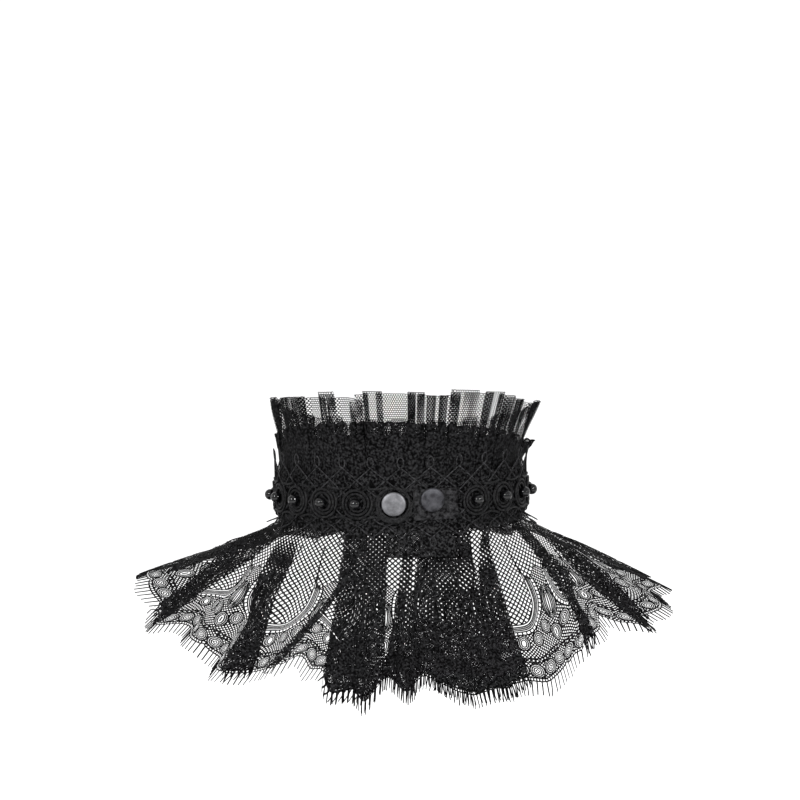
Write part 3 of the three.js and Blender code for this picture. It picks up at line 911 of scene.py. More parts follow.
@dataclass(frozen=True)
class Hanging:
    """The surface of the hanging lace: it leaves the strip downwards, bends out and runs to a folded hem."""

    neck: NeckLine
    start_depth: float = 1.2
    start_z: float = -14.8
    length: float = 88.0
    folds_from: float = 0.33
    folds_open: float = 1.05
    up_from: float = 0.62
    up_full: float = 1.1
    around: float = 61.0  # the strip's mean radius
    turn: float = 0.9  # cloth in the bend at a fold's edge
    gap: float = 0.4  # between layers at the top
    gap_more: float = 0.9  # how much wider it is at the hem
    gap_opens: Span = (0.2, 1.0)
    bends: Span = (0.12, 1.12)  # the shares of the way between which a fold's edge changes its angle
    narrowest: float = 0.2  # half of a panel's least width
    seam_past: float = 1.5  # how far its ends run past the seam, in degrees
    seam_layer: float = 0.6
    sector: float = 5.0  # degrees from one row of shares to the next
    steps: int = 40  # columns of shares down to the hem
    past: int = 8  # and past it
    hidden: int = 21
    hidden_out: float = 4.5
    hidden_up: float = 2.0
    # Angle, then how far out and how high the hem is, and the same for the point that the lace turns at
    hem: tuple[tuple[float, ...], ...] = (
        (0, 50, -86, 9, -31), (25, 51, -88, 9, -31), (45, 56, -76, 11, -29), (66, 64, -62, 12, -26),
        (90, 68, -53, 12, -22), (120, 68, -49, 12, -20), (135, 68, -41, 12, -19), (150, 69, -35, 12, -19),
        (180, 69, -34.5, 12, -19), (210, 68, -34.5, 12, -19), (225, 67, -40, 12, -19),
        (240, 66, -42, 12, -19), (270, 66, -39, 12, -19), (286, 64, -60, 12, -23), (309, 59, -74, 11, -28),
        (335, 53, -78, 9, -30), (360, 50, -86, 9, -31),
    )
    # Angle of each crest or valley, and how far out and up it lies at the hem
    folds: tuple[Edge, ...] = (
        (264, 4, 1), (272, 4, 0), (280, -5, 3), (286, 5, -3), (294, -5, 1), (301, 5, 0), (308, -4, 0),
        (314, 5, -2), (320, -4, 0), (328, 5, -1), (338, -4, 5), (342.5, 5, -4), (347, -3, -2),
        (351.5, 5, -6), (356, -5, -1), (360.5, 6, -3), (366, -5, 3), (374, 4, -1), (380, -3, -2),
        (385, 2, -3), (391, -1, -1), (397, 1.5, -1), (404, -1, 1), (413, 4, 0), (419, -5, 3), (425, 4, -1),
        (432, -5, 0), (440, 4, -2), (447, -4, 0), (453, 4, 0),
    )
    # Angle, and how far the cloth reaches there as a share of its mean reach
    reach: tuple[Span, ...] = (
        (0, 1.0), (3.5, 0.99), (11, 1.01), (19, 1.04), (25, 1.0), (32, 1.02), (38.5, 1.07), (44, 1.08),
        (48.5, 1.02), (51, 0.97), (57, 1.0), (62, 1.06), (72, 1.06), (82, 1.06), (93, 1.03), (110, 1.0),
        (250, 1.0), (264, 1.03), (272, 1.05), (279, 1.08), (285, 1.04), (300, 1.0), (308, 1.04),
        (318, 1.06), (328, 1.0), (331, 0.96), (337.5, 1.05), (348.5, 1.06), (354, 0.98), (360, 1.0),
    )
    laps: tuple[Lap, ...] = (
        Lap((383, 379.5, 376.8), (392, 388.5, 388.5), Over.RIGHT),
        Lap((396.5, 388, 387.5), (401.5, 395.5, 393)),
        Lap((421, 417, 409.5), (432, 425.5, 412), Over.RIGHT),
        Lap((443, 433.5, 428), (450, 441, 434.5)),
        Lap((624, 635, 640), (653, 649.5, 644), Over.RIGHT),
        Lap((653.5, 662.5, 672.8), (669, 675, 679.3)),
        Lap((700.5, 694.5, 684.6), (702.5, 696.1, 686.2), Over.RIGHT),
        Lap((693.3, 696, 699.2), (704.6, 706.5, 707.7), Over.RIGHT),
        Lap((703.8, 705.3, 706.5), (713.5, 714, 714.5)),
        Lap((720.5, 717.5, 713.5), (724.5, 723.5, 722.5), Over.RIGHT),
        Lap((727, 723.3, 721), (734, 731.8, 729.5), Over.RIGHT),
        Lap((733, 730.3, 728), (743, 740, 737)),
    )
    # The left edges of the laps at the front, out of sight
    hidden_laps: tuple[float, ...] = (468, 512, 530, 557, 602)
    hidden_lap: Edge = (8.0, 6.0, 3.5)

    def all_folds(self) -> Array:
        """The crests and valleys of a whole turn, those out of sight evenly spaced."""
        last, first = self.folds[-1][0], self.folds[0][0]
        step = (first + TURN - last) / (self.hidden + 1)
        unseen = []
        for i in range(1, self.hidden + 1):
            sign = (-1) ** i
            unseen.append((last + step * i, sign * self.hidden_out, -sign * self.hidden_up))
        return np.array([*self.folds, *unseen, (first + TURN, *self.folds[0][1:])])

    def all_laps(self) -> list[Lap]:
        """The laps of a whole turn, from one side of the seam to the other."""
        unseen = [Lap((at,) * 3, tuple(at + wide for wide in self.hidden_lap)) for at in self.hidden_laps]
        return sorted([*self.laps, *unseen], key=lambda lap: lap.right[2])

    def mean(self, angle: Array, share: Array) -> tuple[Array, Array]:
        """The depth and height without folds, at a share of the way to the hem, and straight on past it."""
        rows, at = np.array(self.hem), turned(angle)
        out = self.start_depth + eased(rows, at, 1)
        low, bend_out, bend_z = (eased(rows, at, column) for column in (2, 3, 4))
        t, beyond = np.minimum(share, 1), np.maximum(0, share - 1) * 2
        a, b, c = (1 - t) ** 2, 2 * t * (1 - t), t * t
        depth = self.start_depth * a + bend_out * b + out * c + beyond * (out - bend_out)
        return depth, self.start_z * a + bend_z * b + low * c + beyond * (low - bend_z)

    def outward(self, angle: Array, share: Array) -> tuple[Array, Array, Array, Array]:
        """The mean depth and height, and the direction off the cloth as a depth and a height."""
        depth, z = self.mean(angle, share)
        ahead_depth, ahead_z = self.mean(angle, share + 0.01)
        run_depth, run_z = ahead_depth - depth, ahead_z - z
        size = np.hypot(run_depth, run_z)
        return depth, z, -run_z / size, run_depth / size

    @cached_property
    def shares(self) -> Array:
        """The share of the way for each length of cloth: a row each few degrees, a column each length."""
        t = np.linspace(0, 1.3, 66)
        columns = np.arange(self.steps + self.past + 1) / self.steps
        rows = []
        for angle in np.arange(0, TURN + self.sector, self.sector):
            gone = lengths(np.column_stack(self.mean(np.full(len(t), angle), t)))
            rows.append(np.interp(columns, gone / np.interp(1, t, gone), t))
        return np.array(rows)

    def share_at(self, angle: Array, across: Array) -> Array:
        """The share of the way to the hem, for a length down the cloth."""
        at = turned(angle)
        reach, last = np.array(self.reach), self.steps + self.past - 0.001
        row, column = at / self.sector, np.clip(across / self.length * self.steps, 0, last)
        i, j = np.floor(row).astype(int), np.floor(column).astype(int)
        row, column = row - i, column - j
        low = between(self.shares[i, j], self.shares[i, j + 1], column)
        high = between(self.shares[i + 1, j], self.shares[i + 1, j + 1], column)
        full = eased(reach, at, 1)
        return between(low, high, row) * between(1, full, smooth(across, 0, self.length))

    def panels(self) -> list[Panel]:
        """The cloth's panels, in order."""
        first = self.neck.seam_start + TURN - self.seam_past
        last = self.neck.seam_end + TURN + self.seam_past
        nodes = [((first,) * 3, -self.seam_layer)]
        for lap in self.all_laps():
            over = lap.over.value
            nodes += [(lap.right, over), (lap.right, 0.0), (lap.left, 0.0), (lap.left, -over)]
        nodes.append(((last,) * 3, self.seam_layer))
        along, made = 0.0, []
        for (one, under), (other, above) in zip(nodes, nodes[1:]):
            wide = self.turn if one == other else 2 * float(self.half(one, other, np.array(1.0)))
            made.append(Panel(one, other, (under, above), along + wide / 2, wide))
            along += wide
        return made

    def bent(self, edge: Edge, share: Array) -> Array:
        """A fold edge's angle at a share of the way, on a parabola through its three angles."""
        t, total = np.clip(share, *self.bends), 0.0
        for angle, at in zip(edge, KNOTS):
            one, other = (knot for knot in KNOTS if knot != at)
            total = total + angle * (t - one) * (t - other) / ((at - one) * (at - other))
        return total

    def half(self, one: Edge, other: Edge, share: Array) -> Array:
        """Half the length from one fold's edge to another."""
        start, end = self.bent(one, share), self.bent(other, share)
        depth, _ = self.mean((start + end) / 2, share)
        return np.maximum(np.abs(end - start) * math.radians(0.5) * (self.around + depth), self.narrowest)

    def room(self, panel: Panel) -> float:
        """The most cloth that a panel shows at any height."""
        if panel.start == panel.end:
            return panel.wide
        return 2 * float(self.half(panel.start, panel.end, np.linspace(0.1, 1.1, 21)).max())

    def place(self, panel: Panel, along: Array, across: Array, lift: Array) -> tuple[Array, Array]:
        """Carries a panel's cloth to its place.

        Args:
            panel: the panel.
            along: lengths along the cloth.
            across: lengths down the cloth.
            lift: heights off the cloth's right side.

        Returns:
            The points, and how far each is from the panel's middle, where 0.5 is a fold's edge.
        """
        off = along - panel.middle
        at_hem = between(panel.start[2], panel.end[2], np.clip(off / panel.wide + 0.5, 0, 1))
        share = self.share_at(at_hem, across)
        bend = panel.start == panel.end
        half = panel.wide / 2 if bend else self.half(panel.start, panel.end, share)
        part = off / (2 * half)
        inside = np.clip(part, -0.5, 0.5) + 0.5
        angle = between(self.bent(panel.start, share), self.bent(panel.end, share), inside)
        layer = between(*panel.layers, inside)
        depth, z, off_depth, off_z = self.outward(angle, share)
        folds, at = self.all_folds(), turned(angle, self.folds[0][0])
        opened = smooth(share, self.folds_from, self.folds_open)
        facing = -1 if panel.end[2] < panel.start[2] else 1
        raised = facing * lift + layer * (self.gap + self.gap_more * smooth(share, *self.gap_opens))
        z = z + smooth(share, self.up_from, self.up_full) * eased(folds, at, 2) + raised * off_z
        spots = self.neck.place(angle, z, depth + opened * eased(folds, at, 1) + raised * off_depth)
        return spots, part


@dataclass(frozen=True)
class GuipureSheet:
    """The surface of the guipure: on the strip, and over the start of the ruffles above and below it."""

    neck: NeckLine
    standing: Standing
    hanging: Hanging
    face: float = 4.2
    turn: float = -10.5
    settled: float = 6.0  # how far below the turn it has settled on the lace
    closer: float = 0.6  # how much closer it lies there
    degree: float = 1.137

    def place(self, along: Array, across: Array, lift: Array) -> Array:
        """Points in space, for a length along it, a height on it and a lift off it."""
        angle = along / self.degree
        down = np.maximum(0, self.turn - across)
        on_lace = np.maximum(0, self.hanging.start_z - across)
        depth, z, off_depth, off_z = self.hanging.outward(angle, self.hanging.share_at(angle, on_lace))
        clear = self.face - self.closer - self.hanging.start_depth + lift
        low_depth, low_z = depth + clear * off_depth, z + clear * off_z
        high_depth = self.standing.lean_at(angle, across) - self.standing.net_depth + self.face + lift
        left = smooth(down, 0, self.settled)
        z = between(np.maximum(across, self.turn), low_z, left)
        return self.neck.place(angle, z, between(high_depth, low_depth, left))


# Sub-assemblies


@dataclass
class BandAndTab:
    """The padded woven strip, and the plain woven tab under the second snap."""

    neck: NeckLine
    bottom: float = -15.4
    top: float = 14.0
    thickness: float = 2.7
    under_thickness: float = 1.2
    under_depth: float = -2.7
    ramp: Span = (28.0, 34.0)  # where it comes out from under its own end
    ends: Span = (-12.0, 386.0)
    tab_from: float = 365.4
    tab_to: float = 385.8
    tab_bottom: float = -9.0
    tab_top: float = 7.0
    tab_depth: float = 5.0
    tab_thickness: float = 0.9
    tab_around: float = 66.0  # its radius
    corners: Span = (0.7, 0.5)  # of the strip and the tab: 1 for an oval, 0 for a square
    edge: float = 0.6  # how much sharper their upper and lower edges are
    sides: int = 24
    sections: tuple[int, int] = (200, 24)
    degree: float = 1.1  # cloth in a degree

    def loft(self, angles: Array, sections: list[Array], name: str, finish: Finish) -> Piece:
        """Makes a closed strip.

        Args:
            angles: where its sections are.
            sections: the points of each, as (height, depth).
            name: the piece's name.
            finish: what it is made of.

        Returns:
            The piece.
        """
        spots, marks = [], []
        for angle, points in zip(angles, sections):
            spots.append(self.neck.place(np.full(self.sides, angle), points[:, 0], points[:, 1]))
            marks.append(np.column_stack([np.full(self.sides, angle * self.degree), lengths(points)]))
        faces = np.roll(tube(len(angles), self.sides)[:, ::-1], 1, axis=1)
        return mesh_piece(name, np.concatenate(spots), faces, np.concatenate(marks), finish)

    def rounded(self, bottom: float, top: float, middle: float, thick: float, corners: float) -> Array:
        """A rounded section, as (height, depth), starting at its top outer corner and running down."""
        turn = (np.arange(self.sides) + 0.5) / self.sides * 2 * np.pi
        square = np.sign(np.sin(turn)) * np.abs(np.sin(turn)) ** corners
        wide = np.sign(np.cos(turn)) * np.abs(np.cos(turn)) ** (corners * self.edge)
        return np.column_stack([(top + bottom) / 2 + wide * (top - bottom) / 2, middle + square * thick / 2])

    def band_section(self, angle: float) -> Array:
        """The strip's section, which is thin and sunk where it runs under its own end."""
        main = float(smooth(angle, *self.ramp))
        thick = between(self.under_thickness, self.thickness, main)
        middle = between(self.under_depth, self.thickness / 2, main)
        return self.rounded(self.bottom, self.top, middle, thick, self.corners[0])

    def build(self) -> list[Piece]:
        """Makes and dresses both pieces."""
        angles = np.linspace(*self.ends, self.sections[0])
        sections = [self.band_section(angle) for angle in angles]
        band = self.loft(angles, sections, "band_weave", Trim.BAND.value)
        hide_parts("neck_band")
        angles = np.linspace(self.tab_from, self.tab_to, self.sections[1])
        box = self.tab_bottom, self.tab_top, self.tab_depth, self.tab_thickness
        flat_section = self.rounded(*box, self.corners[1])
        tab = self.loft(angles, [flat_section] * len(angles), "tab_weave", Trim.TAB.value)
        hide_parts("closure_tab")
        return [band, tab]


@dataclass
class StandingRuffles:
    """The net that stands up inside, and the dense scalloped lace in front of it."""

    shape: Standing
    net_height: float = 38.5
    net_low: float = 2.0
    net_in: float = 0.5  # how far inside the cloth's ends it stays
    net_cover: float = 0.6  # share of the cloth that its threads cover
    mesh: float = 1.13
    net_thread: float = 0.39
    lace_height: float = 24.0
    tucked: float = 2.0  # how much of the lace is tucked behind the strip's edge
    scallop: float = 7.0
    scallop_depth: float = 4.0
    rings: tuple[float, ...] = (2.9, 2.2, 1.5, 0.85)  # radii, one inside another
    ring_drop: float = 3.2  # how far under the lace's top their middle is
    ring_thread: float = 0.68
    low_rings: tuple[Span, ...] = ((1.9, 2.2), (0.9, 1.1))  # half sizes
    low_drop: float = 7.4
    low_thread: float = 0.6
    edges: Span = (0.25, 6.2)  # how far under the scallops the edge cords are
    edge_cord: float = 0.5
    ridge: float = 0.3
    low_ridge: float = 0.25
    close: float = 1.05  # size of a diamond between the rings
    close_thread: float = 0.63

    def net(self) -> Piece:
        """Makes the net."""
        sheet = StandingSheet(
            self.shape, self.net_height, side=48.6, back_rise=9.2, front_drop=15.0, right_drop=2.2, off=0.0,
            uneven=1.0,
        )
        length, work = sheet.length(), Strips()
        corners = (self.net_in, self.net_low), (length - self.net_in, self.net_height)
        work.bars(*hexagons(*corners, self.mesh), self.net_thread)
        net = work.piece("net_threads", sheet.place, Trim.NET.value, "net")
        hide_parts("net_ruffle")
        return net

    def top(self, along: Array) -> Array:
        """The flat lace's scalloped upper edge."""
        return self.lace_height - self.scallop_depth * (1 - np.sqrt(wave(along / self.scallop)))

    def lace(self) -> Piece:
        """Makes the dense lace."""
        sheet = StandingSheet(
            self.shape, self.lace_height, side=27.6, back_rise=14.8, front_drop=2.0, right_drop=2.9, off=1.6,
            flare=5.0,
        )
        length, motif = sheet.length(), Strips()
        half, middle, outer = self.scallop / 2, self.lace_height - self.ring_drop, self.rings[0]
        for radius in self.rings:
            ridge = self.ridge if radius == outer else 0.0
            motif.line(ring((half, middle), (radius, radius), 1.2), self.ring_thread, ridge, closed=True)
        for radii, ridge in zip(self.low_rings, (self.low_ridge, 0.0)):
            circle = ring((0.0, self.lace_height - self.low_drop), radii, 1.1)
            motif.line(circle, self.low_thread, ridge, closed=True)
        work = motif.repeated(np.arange(math.floor(length / self.scallop) + 1) * self.scallop)
        along = np.arange(0, length, 0.7)
        for drop in self.edges:
            work.line(np.column_stack([along, self.top(along) - drop]), self.edge_cord, self.ridge)

        def dense(x: Array, y: Array) -> Array:
            """Where the close work is. Its holes for the rings are counted afresh each 360 mm."""
            off_ring = np.hypot(turned(x) % self.scallop - half, y - middle) > outer
            return off_ring & (y < self.top(x) - 0.4)

        corners = (0, -self.tucked), (length, self.lace_height)
        work.bars(*diamonds(*corners, (self.close, self.close), dense), self.close_thread)
        lace = work.kept(0, length).piece("standing_lace", sheet.place, Trim.LACE.value, "lace")
        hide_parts("standing_lace_ruffle")
        return lace

    def build(self) -> list[Piece]:
        """Makes and dresses both ruffles."""
        return [self.net(), self.lace()]


@dataclass
class LaceRepeat:
    """One scallop of the hanging lace, flat: along it from its middle, and down it to the hem."""

    period: float
    length: float = 88.0
    scallop: float = 4.5
    cord: float = 0.75
    ridge: float = 0.3
    raised: float = 0.05  # how high the cords' edges lie
    clothing: float = 0.68  # width of the threads that fill a motif
    apart: float = 0.82  # how far apart those threads are
    rung: float = 0.75
    rungs_apart: float = 2.2
    net_cells: int = 14  # in a repeat
    net_drop: float = 3.0
    net_thread: float = 0.85
    filling_cells: int = 24
    filling_drop: float = 1.75
    filling_thread: float = 0.64
    middle: float = 46.0  # of the medallion
    half: Span = (12.5, 13.0)
    narrow: float = 7.5  # half its width at its top
    narrow_to: float = 10.0  # where it starts to widen
    bands_from: float = 34.0  # where the bands round it start
    bands_open: Span = (24.0, 38.0)  # where they leave its side
    outlines: Span = (0.0, 1.2)  # how far outside it its cords are
    bands: Span = (2.0, 2.8)  # and the threads round it
    ladder: Span = (3.7, 5.3)  # and the two sides of the ladder round those
    border: float = 37.0  # where the border starts, how much higher between the medallions, and from where
    border_rise: float = 6.0
    border_level: float = 13.0
    hem_cord: float = 0.35  # how far above the hem its cord, its thread and the filling are
    hem_thread: float = 2.0
    hem_filling: float = 1.8
    ring_radius: float = 3.3
    ring_drop: float = 5.6
    rings: int = 6
    arcs: Span = (9.7, 11.6)
    step: float = 1.25

    def edge(self, s: Array) -> Array:
        """How far down the hem is."""
        return self.length - self.scallop * (1 - np.sqrt(1 - wave(s / self.period)))

    def medallion(self, v: Array, off: float) -> Array:
        """The medallion's half width at a distance down, off outside its outline."""
        widened = smooth(v, self.narrow_to, self.middle)
        upper = between(self.narrow, self.half[0], widened) + off * smooth(v, *self.bands_open)
        low = np.clip((v - self.middle) / (self.half[1] + off), 0, 1)
        return np.where(v < self.middle, upper, (self.half[0] + off) * np.sqrt(1 - low**2))

    def top(self, s: Array) -> Array:
        """How far down the border starts, beside the medallion."""
        return self.border - self.border_rise * smooth(np.abs(s), self.border_level, self.period / 2)

    def outline(self, off: float, start: float) -> Array:
        """The medallion's outline, from a distance down on its left, round its bottom and up again."""
        down = np.arange(start, self.middle, self.step)
        side = np.column_stack([-self.medallion(down, off), down])
        bottom = arc((0, self.middle), (self.half[0] + off, self.half[1] + off), 180, 0, self.step)
        return np.vstack([side, bottom, (side * [-1, 1])[::-1]])

    def motifs(self) -> list[tuple[float, float, float, float]]:
        """The round and egg-shaped motifs inside the border: middle and half sizes."""
        half = self.period / 2
        return [
            (0, 68.6, 2.9, 3.5), (-8.2, 67.0, 3.0, 3.4), (8.2, 67.0, 3.0, 3.4), (-15.4, 63.0, 3.1, 3.8),
            (15.4, 63.0, 3.1, 3.8), (half, 66.5, 2.9, 4.4), (half, 50.5, 3.6, 8.6),
        ]

    def ring_middles(self) -> list[Span]:
        """The middles of the rings along the hem."""
        pitch = self.period / self.rings
        at = [(i - (self.rings - 1) / 2) * pitch for i in range(self.rings)]
        return [(s, float(self.edge(np.array(s))) - self.ring_drop) for s in at]

    def in_net(self, s: Array, v: Array) -> Array:
        """Where the fine net is."""
        inside = (np.abs(s) < self.medallion(v, -0.3)) & (v < self.middle + self.half[1])
        return inside | (v < self.top(s)) & (np.abs(s) > self.medallion(v, 1.3))

    def in_filling(self, s: Array, v: Array) -> Array:
        """Where the border's filling is."""
        off = self.ladder[1]
        outside = (np.abs(s) > self.medallion(v, off)) | (v > self.middle + self.half[1] + off)
        free = outside & (v > self.top(s)) & (v < self.edge(s) - self.hem_filling)
        for s0, v0, a, b in self.motifs():
            across = np.minimum(np.abs(s - s0), np.abs(s - s0 + self.period))
            free &= (across / a) ** 2 + ((v - v0) / b) ** 2 > 1
        for s0, v0 in self.ring_middles():
            free &= np.hypot(s - s0, v - v0) > self.ring_radius
        return free

    def hemwise(self, drop: float) -> Array:
        """A line at a distance above the hem, from one end of the scallop to the other."""
        s = np.linspace(-self.period / 2, self.period / 2, round(self.period / self.step) + 1)
        return np.column_stack([s, self.edge(s) - drop])

    @staticmethod
    def rungs(near: Array, far: Array, pitch: float) -> tuple[Array, Array]:
        """Short threads from one line to another that runs beside it."""
        gone = lengths(near)
        at, own = np.arange(pitch / 2, gone[-1], pitch), np.linspace(0, 1, len(far))
        starts = np.column_stack([np.interp(at, gone, near[:, k]) for k in (0, 1)])
        return starts, np.column_stack([np.interp(at / gone[-1], own, far[:, k]) for k in (0, 1)])

    def filled(self, work: Strips, middle: Pair, half: Pair) -> None:
        """Lays an outlined motif with rings of clothing inside it, round a small hole."""
        work.line(ring(middle, half, self.step), self.cord, self.ridge, self.raised, closed=True)
        for less in np.arange(self.apart, min(half) - 0.5, self.apart):
            work.line(ring(middle, (half[0] - less, half[1] - less), self.step), self.clothing, closed=True)
        longer = half[1] - half[0]
        if longer > 1.0:
            ends = (middle[0], middle[1] - longer), (middle[0], middle[1] + longer)
            work.line(run(*ends, self.step), self.clothing)

    def work(self) -> Strips:
        """Lays the whole repeat: cords, motifs, ladders and nets."""
        work = Strips()
        cords = [self.outline(off, self.narrow_to) for off in self.outlines]
        cords.append(self.outline(self.ladder[1] + 0.1, self.bands_from))
        cords += [self.hemwise(drop) for drop in (self.hem_cord, *self.arcs)]
        for way in cords:
            work.line(way, self.cord, self.ridge, self.raised)
        for off in (*self.bands, self.ladder[0]):
            work.line(self.outline(off, self.bands_from), self.clothing)
        work.line(self.hemwise(self.hem_thread), self.clothing)
        ladder = [self.outline(off, self.bands_from + 2) for off in self.ladder]
        arcs = [self.hemwise(drop) for drop in self.arcs]
        for near, far in (ladder, arcs):
            work.bars(*self.rungs(near, far, self.rungs_apart), self.rung)
        hem = [self.hemwise(drop) for drop in (self.hem_cord, self.hem_thread)]
        work.bars(*self.rungs(*hem, 1.3), self.clothing)
        for middle in self.ring_middles():
            self.filled(work, middle, (self.ring_radius, self.ring_radius))
        for s, v, *half in self.motifs():
            self.filled(work, (s, v), half)
        for side in (-1, 1):
            s = np.arange(self.border_level + 1.5, self.period / 2 + 0.5, self.step)
            work.line(np.column_stack([side * s, self.top(s)]), self.cord, self.ridge)
        low, high = (-self.period / 2, 0.0), (self.period / 2 - 0.01, self.length)
        net = (self.period / self.net_cells, self.net_drop)
        work.bars(*diamonds(low, high, net, self.in_net), self.net_thread)
        filling = (self.period / self.filling_cells, self.filling_drop)
        work.bars(*diamonds(low, high, filling, self.in_filling), self.filling_thread)
        return work


@dataclass
class HangingLace:
    """The wide lace that spreads outwards, and its eyelash fringe."""

    shape: Hanging
    period: float = 42.0
    firsts: Span = (6.2, 25.7)  # where each half's medallions start, along the cloth
    lash_pitch: float = 2.2
    lash: float = 8.0
    lash_radius: float = 0.34
    lash_foot: float = 0.6  # how far above the hem it starts
    cover: float = 0.75  # share of the cloth that its threads cover
    seed: int = 7

    def carried(self, work: Strips, panels: Sequence[Panel], first: float, whole: bool) -> Strips:
        """Carries repeats of flat work to their places in space, cut off at the folds.

        Args:
            work: one repeat, from its middle.
            panels: the panels to fill.
            first: where a repeat's middle is, along the cloth.
            whole: whether a strip that starts inside a panel is kept whole.

        Returns:
            The work, whose points are now places in space.
        """
        made = Strips()
        points, marks, faces = work.arrays()
        foot = points[faces[:, 0]][:, 0] if whole else points[faces][:, :, 0].mean(1)
        for panel in panels:
            room = self.shape.room(panel) / 2 + 0.5
            low, high = (panel.middle + side * room - first for side in (-1, 1))
            for n in range(math.floor(low / self.period + 0.5), math.ceil(high / self.period - 0.5) + 1):
                shift = n * self.period
                near = (foot + shift > low) & (foot + shift < high)
                used, renamed = np.unique(faces[near], return_inverse=True)
                if not len(used):
                    continue
                quads = renamed.reshape(-1, 4)
                along = points[used, 0] + shift + first
                spots, part = self.shape.place(panel, along, points[used, 1], points[used, 2])
                stays = np.abs(part[quads[:, 0]] if whole else part[quads].mean(1)) < 0.5
                if panel.end[2] < panel.start[2]:
                    quads = quads[:, ::-1]
                made.take(spots, marks[used] + [shift, 0], quads[stays])
        return made

    def build(self) -> list[Piece]:
        """Makes and dresses the two halves of the lace, and the fringe."""
        panels = self.shape.panels()
        width = panels[-1].middle + panels[-1].wide / 2
        repeat = LaceRepeat(self.period)
        LOG.info("the hanging lace is %.0f mm long, in repeats of %.1f mm", width, self.period)
        made, work, lashes, lash_work = [], repeat.work(), Strips(), self.lashes(repeat)
        right = [panel for panel in panels if panel.middle < width / 2]
        halves = (right, panels[len(right) :])
        for name, own, first in zip(("right", "left"), halves, self.firsts):
            lashes.take(*self.carried(lash_work, own, first, whole=True).arrays())
            half = self.carried(work, own, first, whole=False)
            lace = half.as_piece(f"hanging_lace_{name}", Trim.LACE.value, "lace")
            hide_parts("hanging_lace_ruffle")
            flat = (sum(panel.wide for panel in own) * MM, repeat.length * MM)
            area = self.cover * flat[0] * flat[1]
            made.append(lace)
        fringe = lashes.as_piece("eyelashes", Trim.FRINGE.value, "lace")
        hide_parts("eyelash_fringe")
        return [*made, fringe]

    def lashes(self, repeat: LaceRepeat) -> Strips:
        """Lays a repeat's eyelashes along the hem, each a little out of line."""
        chance = np.random.default_rng(self.seed)
        work = Strips()
        count = round(repeat.period / self.lash_pitch)
        for along in (np.arange(count) + 0.5) * repeat.period / count - repeat.period / 2:
            hem = float(repeat.edge(np.array(along)))
            lean, length = chance.normal(0, 0.3), self.lash * chance.uniform(0.9, 1.04)
            share = np.linspace(0, 1, 4)
            way = np.column_stack([along + lean * share**1.5, hem - self.lash_foot + length * share])
            work.cord(way, self.lash_radius, lift=-self.lash_radius, sides=4, taper=0.8)
        return work


